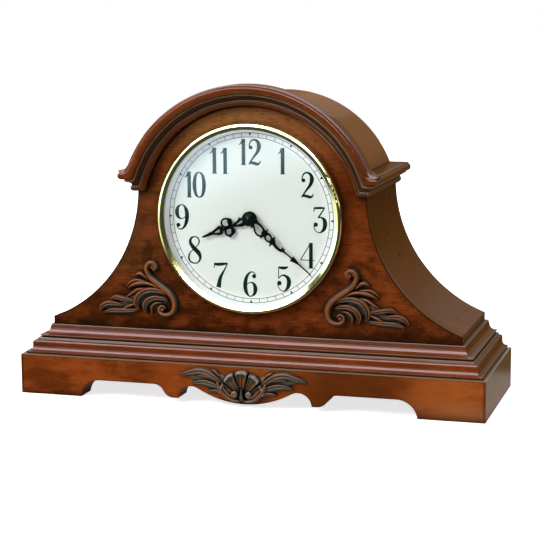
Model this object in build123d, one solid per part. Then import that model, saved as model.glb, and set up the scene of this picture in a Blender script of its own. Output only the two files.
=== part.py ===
from build123d import *
import math
import os

# Sizes are in millimetres. X runs across the clock, Y from its front to its back, Z up from the floor.

# Plinth
PLINTH_WIDTH = 440.0
PLINTH_DEPTH = 148.0
PLINTH_HEIGHT = 37.3
FRONT_APRON_THICKNESS = 23.0
SIDE_APRON_THICKNESS = 20.0
REAR_RAIL_THICKNESS = 15.0
APRON_CUT_HEIGHT = 16.4
FOOT_WIDTH = 60.2
FOOT_ARC_RADIUS = 18.9
OGEE_LENGTH = 19.0
PENDANT_WIDTH = 5.0
PENDANT_CLEARANCE = 4.6
CUSP_RADIUS = 12.8
LOBE_RADIUS = 88.0
LOBE_CLEARANCE = 2.8
GLUE_BLOCK_SIDE = 20.0
GLUE_BLOCK_HEIGHT = 28.0

# Lower base moulding, an ogee strip with a shadow line under it
LOWER_INSET = 3.4
LOWER_FILLET = 1.4
LOWER_COVE_RADIUS = 5.5
LOWER_RISER = 3.2
LOWER_BEAD_RADIUS = 3.2
LOWER_STRIP_WIDTH = 56.0
SHADOW_LINE_HEIGHT = 0.8
SHADOW_LINE_DEPTH = 1.2

# Upper base moulding, a cove strip
UPPER_INSET = 13.9
UPPER_FILLET = 1.3
UPPER_COVE_RADIUS = 7.4
UPPER_TOP_STEP = 0.6
UPPER_TOP_FILLET = 2.2
UPPER_STRIP_WIDTH = 31.0

# Case
BODY_SETBACK = 22.6
BODY_SIDE_INSET = 25.0
BOARD_THICKNESS = 12.0
BOARD_EDGE_HEIGHT = 7.6
SWEEP_RADIUS = 134.0
SIDE_REVEAL = 0.8
SIDE_THICKNESS = 9.0
BARREL_RADIUS = 109.3
BARREL_THICKNESS = 8.0
DIAL_HEIGHT = 170.0

# Cornice and arch moulding share one profile
CORNICE_RISE = 23.0
CORNICE_HEIGHT = 19.0
CORNICE_FRONT_PROJECTION = 17.7
CORNICE_SIDE_PROJECTION = 14.1
CORNICE_NOSE_RADIUS = 5.35
CORNICE_NOSE_HEIGHT = 14.3
CORNICE_NOSE_STEP = 0.55
CORNICE_COVE_RADIUS = 4.8
CORNICE_FOOT = 2.0
ARCH_INNER_RADIUS = 102.5

# Back frame and door
BACK_RECESS = 10.0
BACK_THICKNESS = 8.0
BACK_FIT = 0.2
DOOR_HALF_WIDTH = 72.0
DOOR_RISE = 17.0
DOOR_GAP = 1.0
SOUND_SLOT_COUNT = 7
SOUND_SLOT_PITCH = 14.0
SOUND_SLOT_WIDTH = 4.0
SOUND_SLOT_HEIGHT = 34.0
SOUND_SLOT_RISE = 14.0

# Butt hinges of the door
HINGE_HEIGHT = 21.0
HINGE_KNUCKLES = 3
HINGE_LEAF_WIDTH = 12.0
HINGE_LEAF_THICKNESS = 1.2
HINGE_PIN_RADIUS = 1.1
HINGE_KNUCKLE_RADIUS = 2.4
HINGE_KNUCKLE_GAP = 0.3
HINGE_RISES = (22.0, 70.0)
HINGE_SEAT = 0.1
PIN_CLEARANCE = 0.05

# Door knob and magnetic catch
KNOB_RADIUS = 4.0
KNOB_NECK_RADIUS = 2.4
KNOB_REACH = 9.0
KNOB_INSET = 12.0
KNOB_RISE = 55.0
CATCH_RISE = 72.0
CATCH_HEIGHT = 22.0
CATCH_WIDTH = 15.0
CATCH_DEPTH = 11.0
CATCH_REACH = 10.0
CATCH_GAP = 0.2
STRIKE_THICKNESS = 1.0
STRIKE_MARGIN = 1.0

# Carvings
SCROLL_RELIEF = 6.0
SHELL_RELIEF = 6.5
STROKE_STATIONS = 7
SHELL_ROOT_HEIGHT = 8.0
SHELL_HALF_ANGLE = 62.0
SHELL_SIDE_REACH = 25.0
SHELL_TOP_REACH = 27.5
SHELL_FLUTES = 7
SHELL_FLUTE_WIDTHS = (2.5, 6.1, 7.6)
SHELL_FLUTE_SHARE = 0.9
SHELL_EYE_X = 7.0
SHELL_EYE_HEIGHT = 12.8
SHELL_EYE_RADIUS = 4.4

# Strokes of the right scroll: points from root to tip as (x, height above the base), widths,
# share of the full relief
SCROLL_STROKES = [
    ([(99.5, 55.9), (96, 48.9), (86, 41.9), (76.5, 34.4), (72.4, 24.9), (75.5, 16.9), (82, 14.5)],
     (4.4, 6.6, 4.0), 1.0),
    ([(98, 46.9), (103, 50.4), (110, 51.4)], (3.0, 5.4, 1.6), 0.65),
    ([(90, 40.9), (99, 44.7), (108, 43.9), (118.5, 38.9)], (2.4, 5.2, 2.0), 0.85),
    ([(103, 38.4), (110, 34.9), (117, 29.9)], (3.0, 4.4, 1.8), 0.6),
    ([(80, 34.4), (91, 37.1), (102, 33.9), (107.6, 25.9), (105.5, 16.9)], (3.0, 7.0, 4.0), 0.9),
    ([(78.5, 27.9), (88, 30.5), (96.5, 26.4), (99.4, 20.9), (98, 13.9)], (3.0, 6.6, 3.6), 0.85),
    ([(86, 22.9), (92, 23.4), (94, 18.9), (93.5, 13.9)], (2.0, 5.0, 2.6), 0.55),
    ([(107, 26.9), (118, 27.3), (128, 28.7), (138, 24.9)], (3.0, 5.0, 1.6), 0.8),
    ([(108, 23.9), (116, 21.4), (124, 17.9)], (5.0, 5.4, 2.4), 0.6),
    ([(119, 20.4), (130, 22.4), (140, 21.9), (147.5, 14.9)], (2.6, 5.4, 2.6), 0.75),
    ([(106, 19.9), (116, 17.3), (131, 16.9), (145, 14.4)], (5.0, 5.0, 2.0), 0.7),
]
SCROLL_VOLUTES = [((94.4, 58.5), 6.2), ((84.0, 19.3), 5.6)]

# Strokes of the shell's leaves on the right
SHELL_STROKES = [
    ([(20, 21), (29, 29), (40, 31.6), (50, 29), (61, 25.8)], (6.0, 6.4, 2.0), 0.75),
    ([(21, 17), (32, 20.4), (46, 20)], (6.0, 5.6, 1.4), 0.65),
    ([(17, 12), (25, 14), (31, 12.6)], (6.0, 5.0, 1.6), 0.55),
]

# Bezel, glass and dial
BEZEL_RADIUS = 87.0
BEZEL_WIDTH = 6.3
BEZEL_HEIGHT = 8.6
BEZEL_EDGE_HEIGHT = 5.0
BEZEL_LIP = 1.5
BEZEL_LIP_HEIGHT = 6.6
BEZEL_WALL = 1.4
GLASS_THICKNESS = 2.0
GLASS_RISE = 8.0
GLASS_CLEARANCE = 0.2
RETAINER_HEIGHT = 1.1
DIAL_THICKNESS = 1.0
DIAL_SETBACK = 1.4
DIAL_CLEARANCE = 0.3
BEZEL_SCREW_COUNT = 4
BEZEL_SCREW_START = 45.0
BEZEL_SCREW_DEPTH = 3.0

# Hands
MINUTE_HAND_LENGTH = 76.0
HOUR_HAND_LENGTH = 49.4
MINUTE_HAND_TURN = 130.2
HOUR_HAND_TURN = 247.0
HAND_THICKNESS = 0.7
HOUR_HAND_LIFT = 0.5
MINUTE_HAND_LIFT = 1.2
HAND_NUT_RADIUS = 6.7
HAND_NUT_HEIGHT = 5.4
HAND_NUT_RIM = 0.8
HAND_HUB_RADIUS = 5.0

# Minute hand, measured up from the centre; ovals and spurs are height, reach across, and rise along
MINUTE_STEM = 1.1
MINUTE_NECK = 9.1
MINUTE_OVALS = ((13.5, 2.3, 3.2), (23.9, 1.7, 2.5))
MINUTE_SPURS = ((8.0, 3.6, 1.6), (19.0, 4.2, -1.6), (29.3, 4.4, -1.8), (31.2, 3.4, 2.2), (42.9, 3.2, -1.6))
MINUTE_SPUR_THICKNESS = 3.2
MINUTE_BOW = ((0.0, 27.4), (-0.2, 32.7), (1.6, 38.0), (0.0, 43.7))
MINUTE_BOW_WIDTHS = (2.4, 2.6, 1.6)
NEEDLE_FOOT = 41.8
NEEDLE_FOOT_WIDTH = 1.3
NEEDLE_TIP_WIDTH = 0.65
BARB_FOOT = 52.4
BARB_CORNER = 53.6
BARB_TIP = 60.8
BARB_WIDTH = 5.0
BARB_TIP_WIDTH = 1.2

# Hour hand, measured up from the centre
HOUR_STEM = 1.3
HOUR_WAIST = 18.3
HOUR_ARM = ((3.4, 2.5), (3.2, 9.9), (0.0, HOUR_WAIST))
HOUR_TAIL = ((4.9, 7.9), (3.2, 10.4), (1.6, 13.8))
HOUR_TAIL_TIP = 0.4
HOUR_RING_PLACE = (5.2, 23.2)
HOUR_RING_RADIUS = 4.05
HOUR_BUD_RADIUS = 1.75
HOUR_BUD_DROP = 3.0
HOUR_LOZENGE = ((0.0, HOUR_WAIST), (0.4, 24.7), (2.6, 29.6), (0.5, 37.5))
HOUR_LOZENGE_WIDTHS = (1.6, 1.5, 1.0)
HOUR_SPUR = (29.6, 4.0, -1.4)
HOUR_SPUR_THICKNESS = 1.4
HOUR_POINT_FOOT = 36.1
HOUR_POINT_WIDTH = 2.8
HOUR_TIP_WIDTH = 0.6

# Movement
MOVEMENT_HALF_WIDTH = 38.0
MOVEMENT_TOP = 36.0
MOVEMENT_BOTTOM = 66.0
MOVEMENT_DEPTH = 25.0
MOVEMENT_WALL = 2.5
COVER_THICKNESS = 2.5
BRIDGE_THICKNESS = 1.5
BRIDGE_HALF_WIDTH = 28.0
BUSHING_RADIUS = 3.9
BUSHING_CLEARANCE = 0.1
NUT_HEIGHT = 1.6
NUT_WIDTH = 11.0
RUNNING_CLEARANCE = 0.06
ARBOR_RADIUS = 1.4
HOUR_TUBE_WALL = 0.75
PIVOT_RADIUS = 0.8
STUD_RADIUS = 1.0
POST_RADIUS = 2.5
BOSS_RADIUS = 3.0

# Wheels of the motion work
TRAIN_MODULE = 0.5
CANNON_TEETH = 12
MINUTE_WHEEL_TEETH = 36
MINUTE_PINION_TEETH = 10
HOUR_WHEEL_TEETH = 40
SETTING_TEETH = 12
CENTRE_WHEEL_TEETH = 60
DRIVE_TEETH = 10
GEAR_THICKNESS = 1.2
GEAR_SPACE = 0.7
PINION_OVERLAP = 0.2
PRESSURE_ANGLE = 25.0
ADDENDUM = 0.8
DEDENDUM = 1.05
BACKLASH = 0.10
MINUTE_WHEEL_DIRECTION = 60.0
DRIVE_DIRECTION = 200.0

# Setting knob and slides on the rear cover
SETTING_SHAFT_RADIUS = 1.5
SETTING_KNOB_RADIUS = 7.0
SETTING_KNOB_HEIGHT = 6.0
SETTING_KNOB_GAP = 0.4
SETTING_KNOB_FLUTES = 16
SETTING_FLUTE_RADIUS = 0.6
SLIDE_TRAVEL = 4.5
SLIDE_STEM_LENGTH = 5.0
SLIDE_STEM_HEIGHT = 3.4
SLIDE_CLEARANCE = 0.3
SLIDE_BUTTON_HEIGHT = 3.0
SLIDE_FLANGE = 2.0
SLIDE_FLANGE_THICKNESS = 1.0
SLIDE_X = -18.0
CHIME_SLIDE_RISE = 25.0
VOLUME_SLIDE_RISE = 13.0

# Motor, circuit board and cells
MOTOR_WIDTH = 22.0
MOTOR_HEIGHT = 24.0
MOTOR_DEPTH = 10.0
MOTOR_BORE_DEPTH = 2.2
CIRCUIT_WIDTH = 25.0
CIRCUIT_HEIGHT = 32.0
CIRCUIT_THICKNESS = 1.6
CIRCUIT_STANDOFF = 4.0
CHIP_SIDE = 10.0
CHIP_HEIGHT = 1.8
CELL_RADIUS = 7.25
CELL_LENGTH = 49.2
CELL_NUB_RADIUS = 2.75
CELL_NUB_LENGTH = 1.0
CELL_CLEARANCE = 0.3
CONTACT_THICKNESS = 0.6
CONTACT_SIDE = 9.0
CONTACT_BOSS_RADIUS = 3.0
CONTACT_BOSS_LENGTH = 1.2

# Loudspeaker, on the base board with its face down
SPEAKER_TO_SIDE = 112.0
SPEAKER_RADIUS = 33.0
SPEAKER_FLANGE = 1.5
SPEAKER_MOUTH_RADIUS = 26.0
SPEAKER_NECK_RADIUS = 16.0
SPEAKER_HEIGHT = 17.2
SPEAKER_WALL = 1.2
MAGNET_RADIUS = 16.5
MAGNET_HEIGHT = 9.0
CONE_THICKNESS = 0.8
CONE_DEPTH = 10.0
CONE_NECK_RADIUS = 8.0
SOUND_HOLE_RADIUS = 3.0
SOUND_HOLE_RINGS = 2
SOUND_HOLES_PER_RING = 6
SOUND_HOLE_PITCH = 9.5

# Screws
SCREW_RADIUS = 1.0
SCREW_HEAD_RADIUS = 1.9
SCREW_HEAD_HEIGHT = 1.1
SCREW_LENGTH = 6.0
SCREW_SLOT_WIDTH = 0.5
SCREW_SLOT_DEPTH = 0.4

# Places worked out from the sizes above
FRONT_Y = (SHELL_RELIEF - PLINTH_DEPTH) / 2
BACK_Y = FRONT_Y + PLINTH_DEPTH
HALF_WIDTH = PLINTH_WIDTH / 2
LOWER_HEIGHT = SHADOW_LINE_HEIGHT + LOWER_FILLET + LOWER_COVE_RADIUS + LOWER_RISER + LOWER_BEAD_RADIUS
LOWER_TOP = PLINTH_HEIGHT + LOWER_HEIGHT
UPPER_HEIGHT = SHADOW_LINE_HEIGHT + UPPER_FILLET + UPPER_COVE_RADIUS + UPPER_TOP_FILLET
BASE_TOP = LOWER_TOP + UPPER_HEIGHT
BOARD_FRONT_Y = FRONT_Y + BODY_SETBACK
BOARD_BACK_Y = BOARD_FRONT_Y + BOARD_THICKNESS
BOARD_HALF_WIDTH = HALF_WIDTH - BODY_SIDE_INSET
CORNICE_Z = DIAL_HEIGHT + CORNICE_RISE
BOARD_ARCH_RADIUS = BARREL_RADIUS + SIDE_REVEAL
BOARD_NECK = math.sqrt(BOARD_ARCH_RADIUS**2 - CORNICE_RISE**2)
CORNICE_TIP_X = math.sqrt(BARREL_RADIUS**2 - CORNICE_RISE**2) + CORNICE_SIDE_PROJECTION
CORNICE_TIP_Y = BOARD_FRONT_Y - CORNICE_FRONT_PROJECTION
BACK_FACE_Y = BACK_Y - BACK_RECESS
BACK_INNER_Y = BACK_FACE_Y - BACK_THICKNESS
DOOR_BOTTOM = BASE_TOP + DOOR_RISE
HINGE_X = -(DOOR_HALF_WIDTH + DOOR_GAP / 2)
HINGE_Y = BACK_FACE_Y + HINGE_KNUCKLE_RADIUS + HINGE_SEAT
BEZEL_INNER_RADIUS = BEZEL_RADIUS - BEZEL_WIDTH
GLASS_SEAT_RADIUS = BEZEL_INNER_RADIUS + BEZEL_LIP
DIAL_RADIUS = GLASS_SEAT_RADIUS + BEZEL_WALL
DIAL_HOLE_RADIUS = BEZEL_INNER_RADIUS - BEZEL_LIP / 2
DIAL_FRONT_Y = BOARD_FRONT_Y + DIAL_SETBACK
MOVEMENT_Y = DIAL_FRONT_Y + DIAL_THICKNESS
MOVEMENT_FLOOR = DIAL_HEIGHT - MOVEMENT_BOTTOM
MOVEMENT_CEILING = DIAL_HEIGHT + MOVEMENT_TOP
MOVEMENT_REAR_Y = MOVEMENT_Y + MOVEMENT_DEPTH
COVER_REAR_Y = MOVEMENT_REAR_Y + COVER_THICKNESS
NUT_FRONT_Y = DIAL_FRONT_Y - NUT_HEIGHT
HOUR_HAND_Y = NUT_FRONT_Y - HOUR_HAND_LIFT
MINUTE_HAND_Y = HOUR_HAND_Y - HAND_THICKNESS - MINUTE_HAND_LIFT
HAND_NUT_Y = MINUTE_HAND_Y - HAND_THICKNESS
HOUR_TUBE_BORE = ARBOR_RADIUS + RUNNING_CLEARANCE
HOUR_TUBE_RADIUS = HOUR_TUBE_BORE + HOUR_TUBE_WALL
HOUR_LEVEL = MOVEMENT_Y + MOVEMENT_WALL + GEAR_SPACE
MINUTE_LEVEL = HOUR_LEVEL + GEAR_THICKNESS + GEAR_SPACE
CENTRE_LEVEL = MINUTE_LEVEL + GEAR_THICKNESS + GEAR_SPACE + PINION_OVERLAP
BRIDGE_Y = CENTRE_LEVEL + GEAR_THICKNESS + GEAR_SPACE + PINION_OVERLAP
BRIDGE_REAR_Y = BRIDGE_Y + BRIDGE_THICKNESS
CELL_PITCH = 2 * (CELL_RADIUS + CELL_CLEARANCE)
BAY_TOP = MOVEMENT_FLOOR + MOVEMENT_WALL + 2 * CELL_PITCH
GEAR_ROOM_FLOOR = BAY_TOP + MOVEMENT_WALL
BAY_HALF_WIDTH = CELL_LENGTH / 2 + CELL_NUB_LENGTH + CONTACT_BOSS_LENGTH + CONTACT_THICKNESS
SPEAKER_X = HALF_WIDTH - SPEAKER_TO_SIDE
SPEAKER_Y = (BOARD_BACK_Y + BACK_INNER_Y) / 2


def block(x0, x1, y0, y1, z0, z1):
    """Box between two corners."""
    return Pos((x0 + x1) / 2, (y0 + y1) / 2, (z0 + z1) / 2) * Box(x1 - x0, y1 - y0, z1 - z0)


def rod_y(radius, x, z, y0, y1):
    """Round bar along Y."""
    return Pos(x, (y0 + y1) / 2, z) * Rot(90, 0, 0) * Cylinder(radius, y1 - y0)


def rod_z(radius, x, y, z0, z1):
    """Round bar along Z."""
    return Pos(x, y, (z0 + z1) / 2) * Cylinder(radius, z1 - z0)


def slab(sketch, y0, y1):
    """Flat shape drawn across X and Z, made solid from y0 back to y1."""
    face_plane = Plane((0, y0, 0), x_dir=(1, 0, 0), z_dir=(0, -1, 0))
    return extrude(face_plane * sketch, amount=y0 - y1)


def plan_prism(points, z0, z1):
    """Plan polygon made solid between two heights."""
    return Pos(0, 0, z0) * extrude(make_face(Polyline(*points, close=True)), amount=z1 - z0)


def dome_arc(radius, edge_y, rise):
    """Round dome drawn as (radius, y), from its edge forward to the axis."""
    sphere = (radius**2 + rise**2) / (2 * rise)
    half = math.asin(radius / sphere) / 2
    middle = (sphere * math.sin(half), edge_y - rise + sphere * (1 - math.cos(half)))
    return ThreePointArc((radius, edge_y), middle, (0, edge_y - rise))


def group(solids):
    """Separate solids held in one node."""
    return Compound([solid for part in solids for solid in part.solids()])


def mirrored(part):
    """The same piece on the other side of the clock."""
    return mirror(part, about=Plane.YZ)


# Plinth

def apron_lower_edge():
    """Right half of the scrolled edge, from the middle of the lobe out to the inside of the foot."""
    lobe_centre_z = LOBE_CLEARANCE + LOBE_RADIUS
    cusp_centre_z = APRON_CUT_HEIGHT - CUSP_RADIUS
    reach = LOBE_RADIUS + CUSP_RADIUS
    cusp_x = math.sqrt(reach**2 - (lobe_centre_z - cusp_centre_z) ** 2)
    share = LOBE_RADIUS / reach
    join = (cusp_x * share, lobe_centre_z + (cusp_centre_z - lobe_centre_z) * share)
    pendant_x = cusp_x + math.sqrt(CUSP_RADIUS**2 - (PENDANT_CLEARANCE - cusp_centre_z) ** 2)
    ogee_x = pendant_x + PENDANT_WIDTH
    ogee_end_x = ogee_x + OGEE_LENGTH
    half_run = OGEE_LENGTH / 2
    half_rise = (APRON_CUT_HEIGHT - PENDANT_CLEARANCE) / 2
    ogee_radius = (half_run**2 + half_rise**2) / (2 * half_rise)
    ogee_middle = (ogee_x + half_run, PENDANT_CLEARANCE + half_rise)
    foot_x = HALF_WIDTH - FOOT_WIDTH
    foot_arc_x = foot_x - math.sqrt(FOOT_ARC_RADIUS**2 - (FOOT_ARC_RADIUS - APRON_CUT_HEIGHT) ** 2)
    lobe_arc = math.degrees(math.asin(join[0] / LOBE_RADIUS))
    lobe = CenterArc((0, lobe_centre_z), LOBE_RADIUS, -90, lobe_arc)
    cusp_top = (cusp_x, APRON_CUT_HEIGHT)
    cusp = ThreePointArc(join, cusp_top, (pendant_x, PENDANT_CLEARANCE))
    pendant = Line((pendant_x, PENDANT_CLEARANCE), (ogee_x, PENDANT_CLEARANCE))
    ogee_turn = math.degrees(math.asin(half_run / ogee_radius))
    ogee_low = JernArc((ogee_x, PENDANT_CLEARANCE), (1, 0), ogee_radius, ogee_turn)
    ogee_high = JernArc(ogee_middle, ogee_low % 1, ogee_radius, -ogee_turn)
    straight = Line((ogee_end_x, APRON_CUT_HEIGHT), (foot_arc_x, APRON_CUT_HEIGHT))
    foot_turn = 90 - math.degrees(math.asin((FOOT_ARC_RADIUS - APRON_CUT_HEIGHT) / FOOT_ARC_RADIUS))
    foot_arc = CenterArc((foot_arc_x, APRON_CUT_HEIGHT - FOOT_ARC_RADIUS), FOOT_ARC_RADIUS, 90, -foot_turn)
    return [lobe, cusp, pendant, ogee_low, ogee_high, straight, foot_arc]


def front_apron():
    """Scrolled board with mitred ends."""
    foot_x = HALF_WIDTH - FOOT_WIDTH
    rest_of_edge = Polyline(
        (foot_x, 0), (HALF_WIDTH, 0), (HALF_WIDTH, PLINTH_HEIGHT), (0, PLINTH_HEIGHT), (0, LOBE_CLEARANCE)
    )
    half = make_face([*apron_lower_edge(), rest_of_edge])
    board = slab(half + mirror(half, about=Plane.YZ), FRONT_Y, FRONT_Y + FRONT_APRON_THICKNESS)
    inner_x = HALF_WIDTH - SIDE_APRON_THICKNESS
    inner_y = FRONT_Y + FRONT_APRON_THICKNESS
    mitre = [(-HALF_WIDTH, FRONT_Y), (HALF_WIDTH, FRONT_Y), (inner_x, inner_y), (-inner_x, inner_y)]
    return board & plan_prism(mitre, 0, PLINTH_HEIGHT)


def right_apron():
    """Plain side board, mitred to the front apron."""
    inner_x = HALF_WIDTH - SIDE_APRON_THICKNESS
    inner_y = FRONT_Y + FRONT_APRON_THICKNESS
    plan = [(HALF_WIDTH, FRONT_Y), (HALF_WIDTH, BACK_Y), (inner_x, BACK_Y), (inner_x, inner_y)]
    return plan_prism(plan, 0, PLINTH_HEIGHT)


def rear_apron():
    """Plain board between the side aprons, raised off the floor."""
    reach = HALF_WIDTH - SIDE_APRON_THICKNESS
    return block(-reach, reach, BACK_Y - REAR_RAIL_THICKNESS, BACK_Y, APRON_CUT_HEIGHT, PLINTH_HEIGHT)


def glue_blocks():
    """Four corner blocks inside the plinth."""
    outer_x = HALF_WIDTH - SIDE_APRON_THICKNESS
    front = FRONT_Y + FRONT_APRON_THICKNESS
    rear = BACK_Y - REAR_RAIL_THICKNESS - GLUE_BLOCK_SIDE
    floor = PLINTH_HEIGHT - min(GLUE_BLOCK_HEIGHT, PLINTH_HEIGHT)
    blocks = []
    for y in (front, rear):
        right = block(outer_x - GLUE_BLOCK_SIDE, outer_x, y, y + GLUE_BLOCK_SIDE, floor, PLINTH_HEIGHT)
        blocks += [right, mirrored(right)]
    return group(blocks)


# Base mouldings

def lower_profile():
    """Ogee drawn as (distance in from the plinth face, height), with a shadow line at its foot."""
    step = LOWER_INSET + SHADOW_LINE_DEPTH
    inner = LOWER_INSET + LOWER_STRIP_WIDTH
    cove_z = SHADOW_LINE_HEIGHT + LOWER_FILLET
    riser_x = LOWER_INSET + LOWER_COVE_RADIUS
    riser_z = cove_z + LOWER_COVE_RADIUS
    bead_z = riser_z + LOWER_RISER
    foot = Polyline(
        (inner, 0), (step, 0), (step, SHADOW_LINE_HEIGHT),
        (LOWER_INSET, SHADOW_LINE_HEIGHT), (LOWER_INSET, cove_z)
    )
    cove = CenterArc((LOWER_INSET, riser_z), LOWER_COVE_RADIUS, -90, 90)
    riser = Line((riser_x, riser_z), (riser_x, bead_z))
    bead = CenterArc((riser_x + LOWER_BEAD_RADIUS, bead_z), LOWER_BEAD_RADIUS, 180, -90)
    top = Polyline((riser_x + LOWER_BEAD_RADIUS, LOWER_HEIGHT), (inner, LOWER_HEIGHT), (inner, 0))
    return make_face([foot, cove, riser, bead, top])


def upper_profile():
    """Cove drawn as (distance in from the plinth face, height), with a shadow line at its foot."""
    step = UPPER_INSET + SHADOW_LINE_DEPTH
    inner = UPPER_INSET + UPPER_STRIP_WIDTH
    cove_z = SHADOW_LINE_HEIGHT + UPPER_FILLET
    cove_top = cove_z + UPPER_COVE_RADIUS
    top_x = UPPER_INSET + UPPER_COVE_RADIUS + UPPER_TOP_STEP
    foot = Polyline(
        (inner, 0), (step, 0), (step, SHADOW_LINE_HEIGHT),
        (UPPER_INSET, SHADOW_LINE_HEIGHT), (UPPER_INSET, cove_z)
    )
    cove = CenterArc((UPPER_INSET, cove_top), UPPER_COVE_RADIUS, -90, 90)
    rest = Polyline(
        (UPPER_INSET + UPPER_COVE_RADIUS, cove_top), (top_x, cove_top), (top_x, UPPER_HEIGHT),
        (inner, UPPER_HEIGHT), (inner, 0)
    )
    return make_face([foot, cove, rest])


def moulding_strips(profile, z, inner):
    """Front, left and right strips of one profile, mitred where they meet, ending at the back plane."""
    front_plane = Plane((-HALF_WIDTH, FRONT_Y, z), x_dir=(0, 1, 0), z_dir=(1, 0, 0))
    front = extrude(front_plane * profile, amount=PLINTH_WIDTH)
    side_plane = Plane((-HALF_WIDTH, FRONT_Y, z), x_dir=(1, 0, 0), z_dir=(0, -1, 0))
    left = extrude(side_plane * profile, amount=-PLINTH_DEPTH)
    inner_x = HALF_WIDTH - inner
    inner_y = FRONT_Y + inner
    front_plan = [(-HALF_WIDTH, FRONT_Y), (HALF_WIDTH, FRONT_Y), (inner_x, inner_y), (-inner_x, inner_y)]
    left_plan = [(-HALF_WIDTH, FRONT_Y), (-inner_x, inner_y), (-inner_x, BACK_Y), (-HALF_WIDTH, BACK_Y)]
    front = front & plan_prism(front_plan, z, BASE_TOP)
    left = left & plan_prism(left_plan, z, BASE_TOP)
    return front, left, mirrored(left)


def rear_base_rail():
    """Plain rail that closes the back of both base mouldings."""
    lower_x = HALF_WIDTH - LOWER_INSET - LOWER_STRIP_WIDTH
    upper_x = HALF_WIDTH - UPPER_INSET - UPPER_STRIP_WIDTH
    y = BACK_Y - REAR_RAIL_THICKNESS
    lower = block(-lower_x, lower_x, y, BACK_Y, PLINTH_HEIGHT, LOWER_TOP)
    return lower + block(-upper_x, upper_x, y, BACK_Y, LOWER_TOP, BASE_TOP)


def base_board():
    """Floor of the case, drilled with rings of sound holes under the loudspeaker."""
    reach = HALF_WIDTH - UPPER_INSET - UPPER_STRIP_WIDTH
    front = FRONT_Y + UPPER_INSET + UPPER_STRIP_WIDTH
    board = block(-reach, reach, front, BACK_Y - REAR_RAIL_THICKNESS, LOWER_TOP, BASE_TOP)
    holes = [rod_z(SOUND_HOLE_RADIUS, SPEAKER_X, SPEAKER_Y, LOWER_TOP, BASE_TOP)]
    for ring in range(1, SOUND_HOLE_RINGS + 1):
        for place in PolarLocations(ring * SOUND_HOLE_PITCH, SOUND_HOLES_PER_RING * ring):
            spot = place.position
            hole = rod_z(SOUND_HOLE_RADIUS, SPEAKER_X + spot.X, SPEAKER_Y + spot.Y, LOWER_TOP, BASE_TOP)
            holes.append(hole)
    seat = BASE_TOP + SPEAKER_FLANGE
    holes += [rod_z(SCREW_RADIUS, x, y, seat - SCREW_LENGTH, BASE_TOP) for x, y in speaker_screw_places()]
    return board - holes


# Case

def sweep_centre():
    """Centre of the hollow sweep of the right shoulder, through the board's edge and its neck."""
    start = Vector(BOARD_HALF_WIDTH, BASE_TOP + BOARD_EDGE_HEIGHT)
    end = Vector(BOARD_NECK, CORNICE_Z)
    chord = end - start
    middle = (start + end) * 0.5
    reach = math.sqrt(SWEEP_RADIUS**2 - (chord.length / 2) ** 2)
    outward = Vector(chord.Y, -chord.X).normalized()
    return middle + outward * reach


def shoulder_x(offset, z):
    """X of the shoulder line moved in by an offset, at a height."""
    centre = sweep_centre()
    return centre.X - math.sqrt((SWEEP_RADIUS + offset) ** 2 - (z - centre.Y) ** 2)


def shoulder_arc(offset, z0, z1):
    """Shoulder line moved in by an offset, from one height up to another."""
    middle_z = (z0 + z1) / 2
    points = [(shoulder_x(offset, z), z) for z in (z0, middle_z, z1)]
    return ThreePointArc(*points)


def over_arc(radius, side_z):
    """Round top over the dial, from the right side to the left at one height."""
    x = math.sqrt(radius**2 - (side_z - DIAL_HEIGHT) ** 2)
    return ThreePointArc((x, side_z), (0, DIAL_HEIGHT + radius), (-x, side_z))


def mirrored_edges(edges):
    """The same edges on the left."""
    return [edge.mirror(Plane.YZ) for edge in edges]


def front_board_outline():
    """Board with swept shoulders and round top."""
    edge_top = BASE_TOP + BOARD_EDGE_HEIGHT
    side = Line((BOARD_HALF_WIDTH, BASE_TOP), (BOARD_HALF_WIDTH, edge_top))
    sweep_line = shoulder_arc(0, edge_top, CORNICE_Z)
    foot = Line((-BOARD_HALF_WIDTH, BASE_TOP), (BOARD_HALF_WIDTH, BASE_TOP))
    half = [side, sweep_line]
    return make_face([foot, *half, over_arc(BOARD_ARCH_RADIUS, CORNICE_Z), *mirrored_edges(half)])


def front_board():
    """Front board with the dial opening, the rebate that seats the dial, and bezel screw holes."""
    board = slab(front_board_outline(), BOARD_FRONT_Y, BOARD_BACK_Y)
    board -= rod_y(DIAL_HOLE_RADIUS, 0, DIAL_HEIGHT, BOARD_FRONT_Y, BOARD_BACK_Y)
    board -= rod_y(DIAL_RADIUS + DIAL_CLEARANCE, 0, DIAL_HEIGHT, BOARD_FRONT_Y, MOVEMENT_Y)
    return board - [rod_y(SCREW_RADIUS, x, z, BOARD_FRONT_Y, BOARD_BACK_Y) for x, z in bezel_screw_places()]


def right_side_panel():
    """Swept side panel, a little inside the board's edge."""
    edge_x = BOARD_HALF_WIDTH - SIDE_REVEAL
    centre = sweep_centre()
    outer = SWEEP_RADIUS + SIDE_REVEAL
    edge_z = centre.Y - math.sqrt(outer**2 - (centre.X - edge_x) ** 2)
    inner_offset = SIDE_REVEAL + SIDE_THICKNESS
    outer_arc = shoulder_arc(SIDE_REVEAL, edge_z, CORNICE_Z)
    inner_arc = shoulder_arc(inner_offset, BASE_TOP, CORNICE_Z)
    side = Line((edge_x, BASE_TOP), (edge_x, edge_z))
    foot = Line((shoulder_x(inner_offset, BASE_TOP), BASE_TOP), (edge_x, BASE_TOP))
    top_x = [shoulder_x(offset, CORNICE_Z) for offset in (inner_offset, SIDE_REVEAL)]
    top = Line((top_x[0], CORNICE_Z), (top_x[1], CORNICE_Z))
    return slab(make_face([foot, side, outer_arc, top, inner_arc]), BOARD_BACK_Y, BACK_Y)


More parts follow.
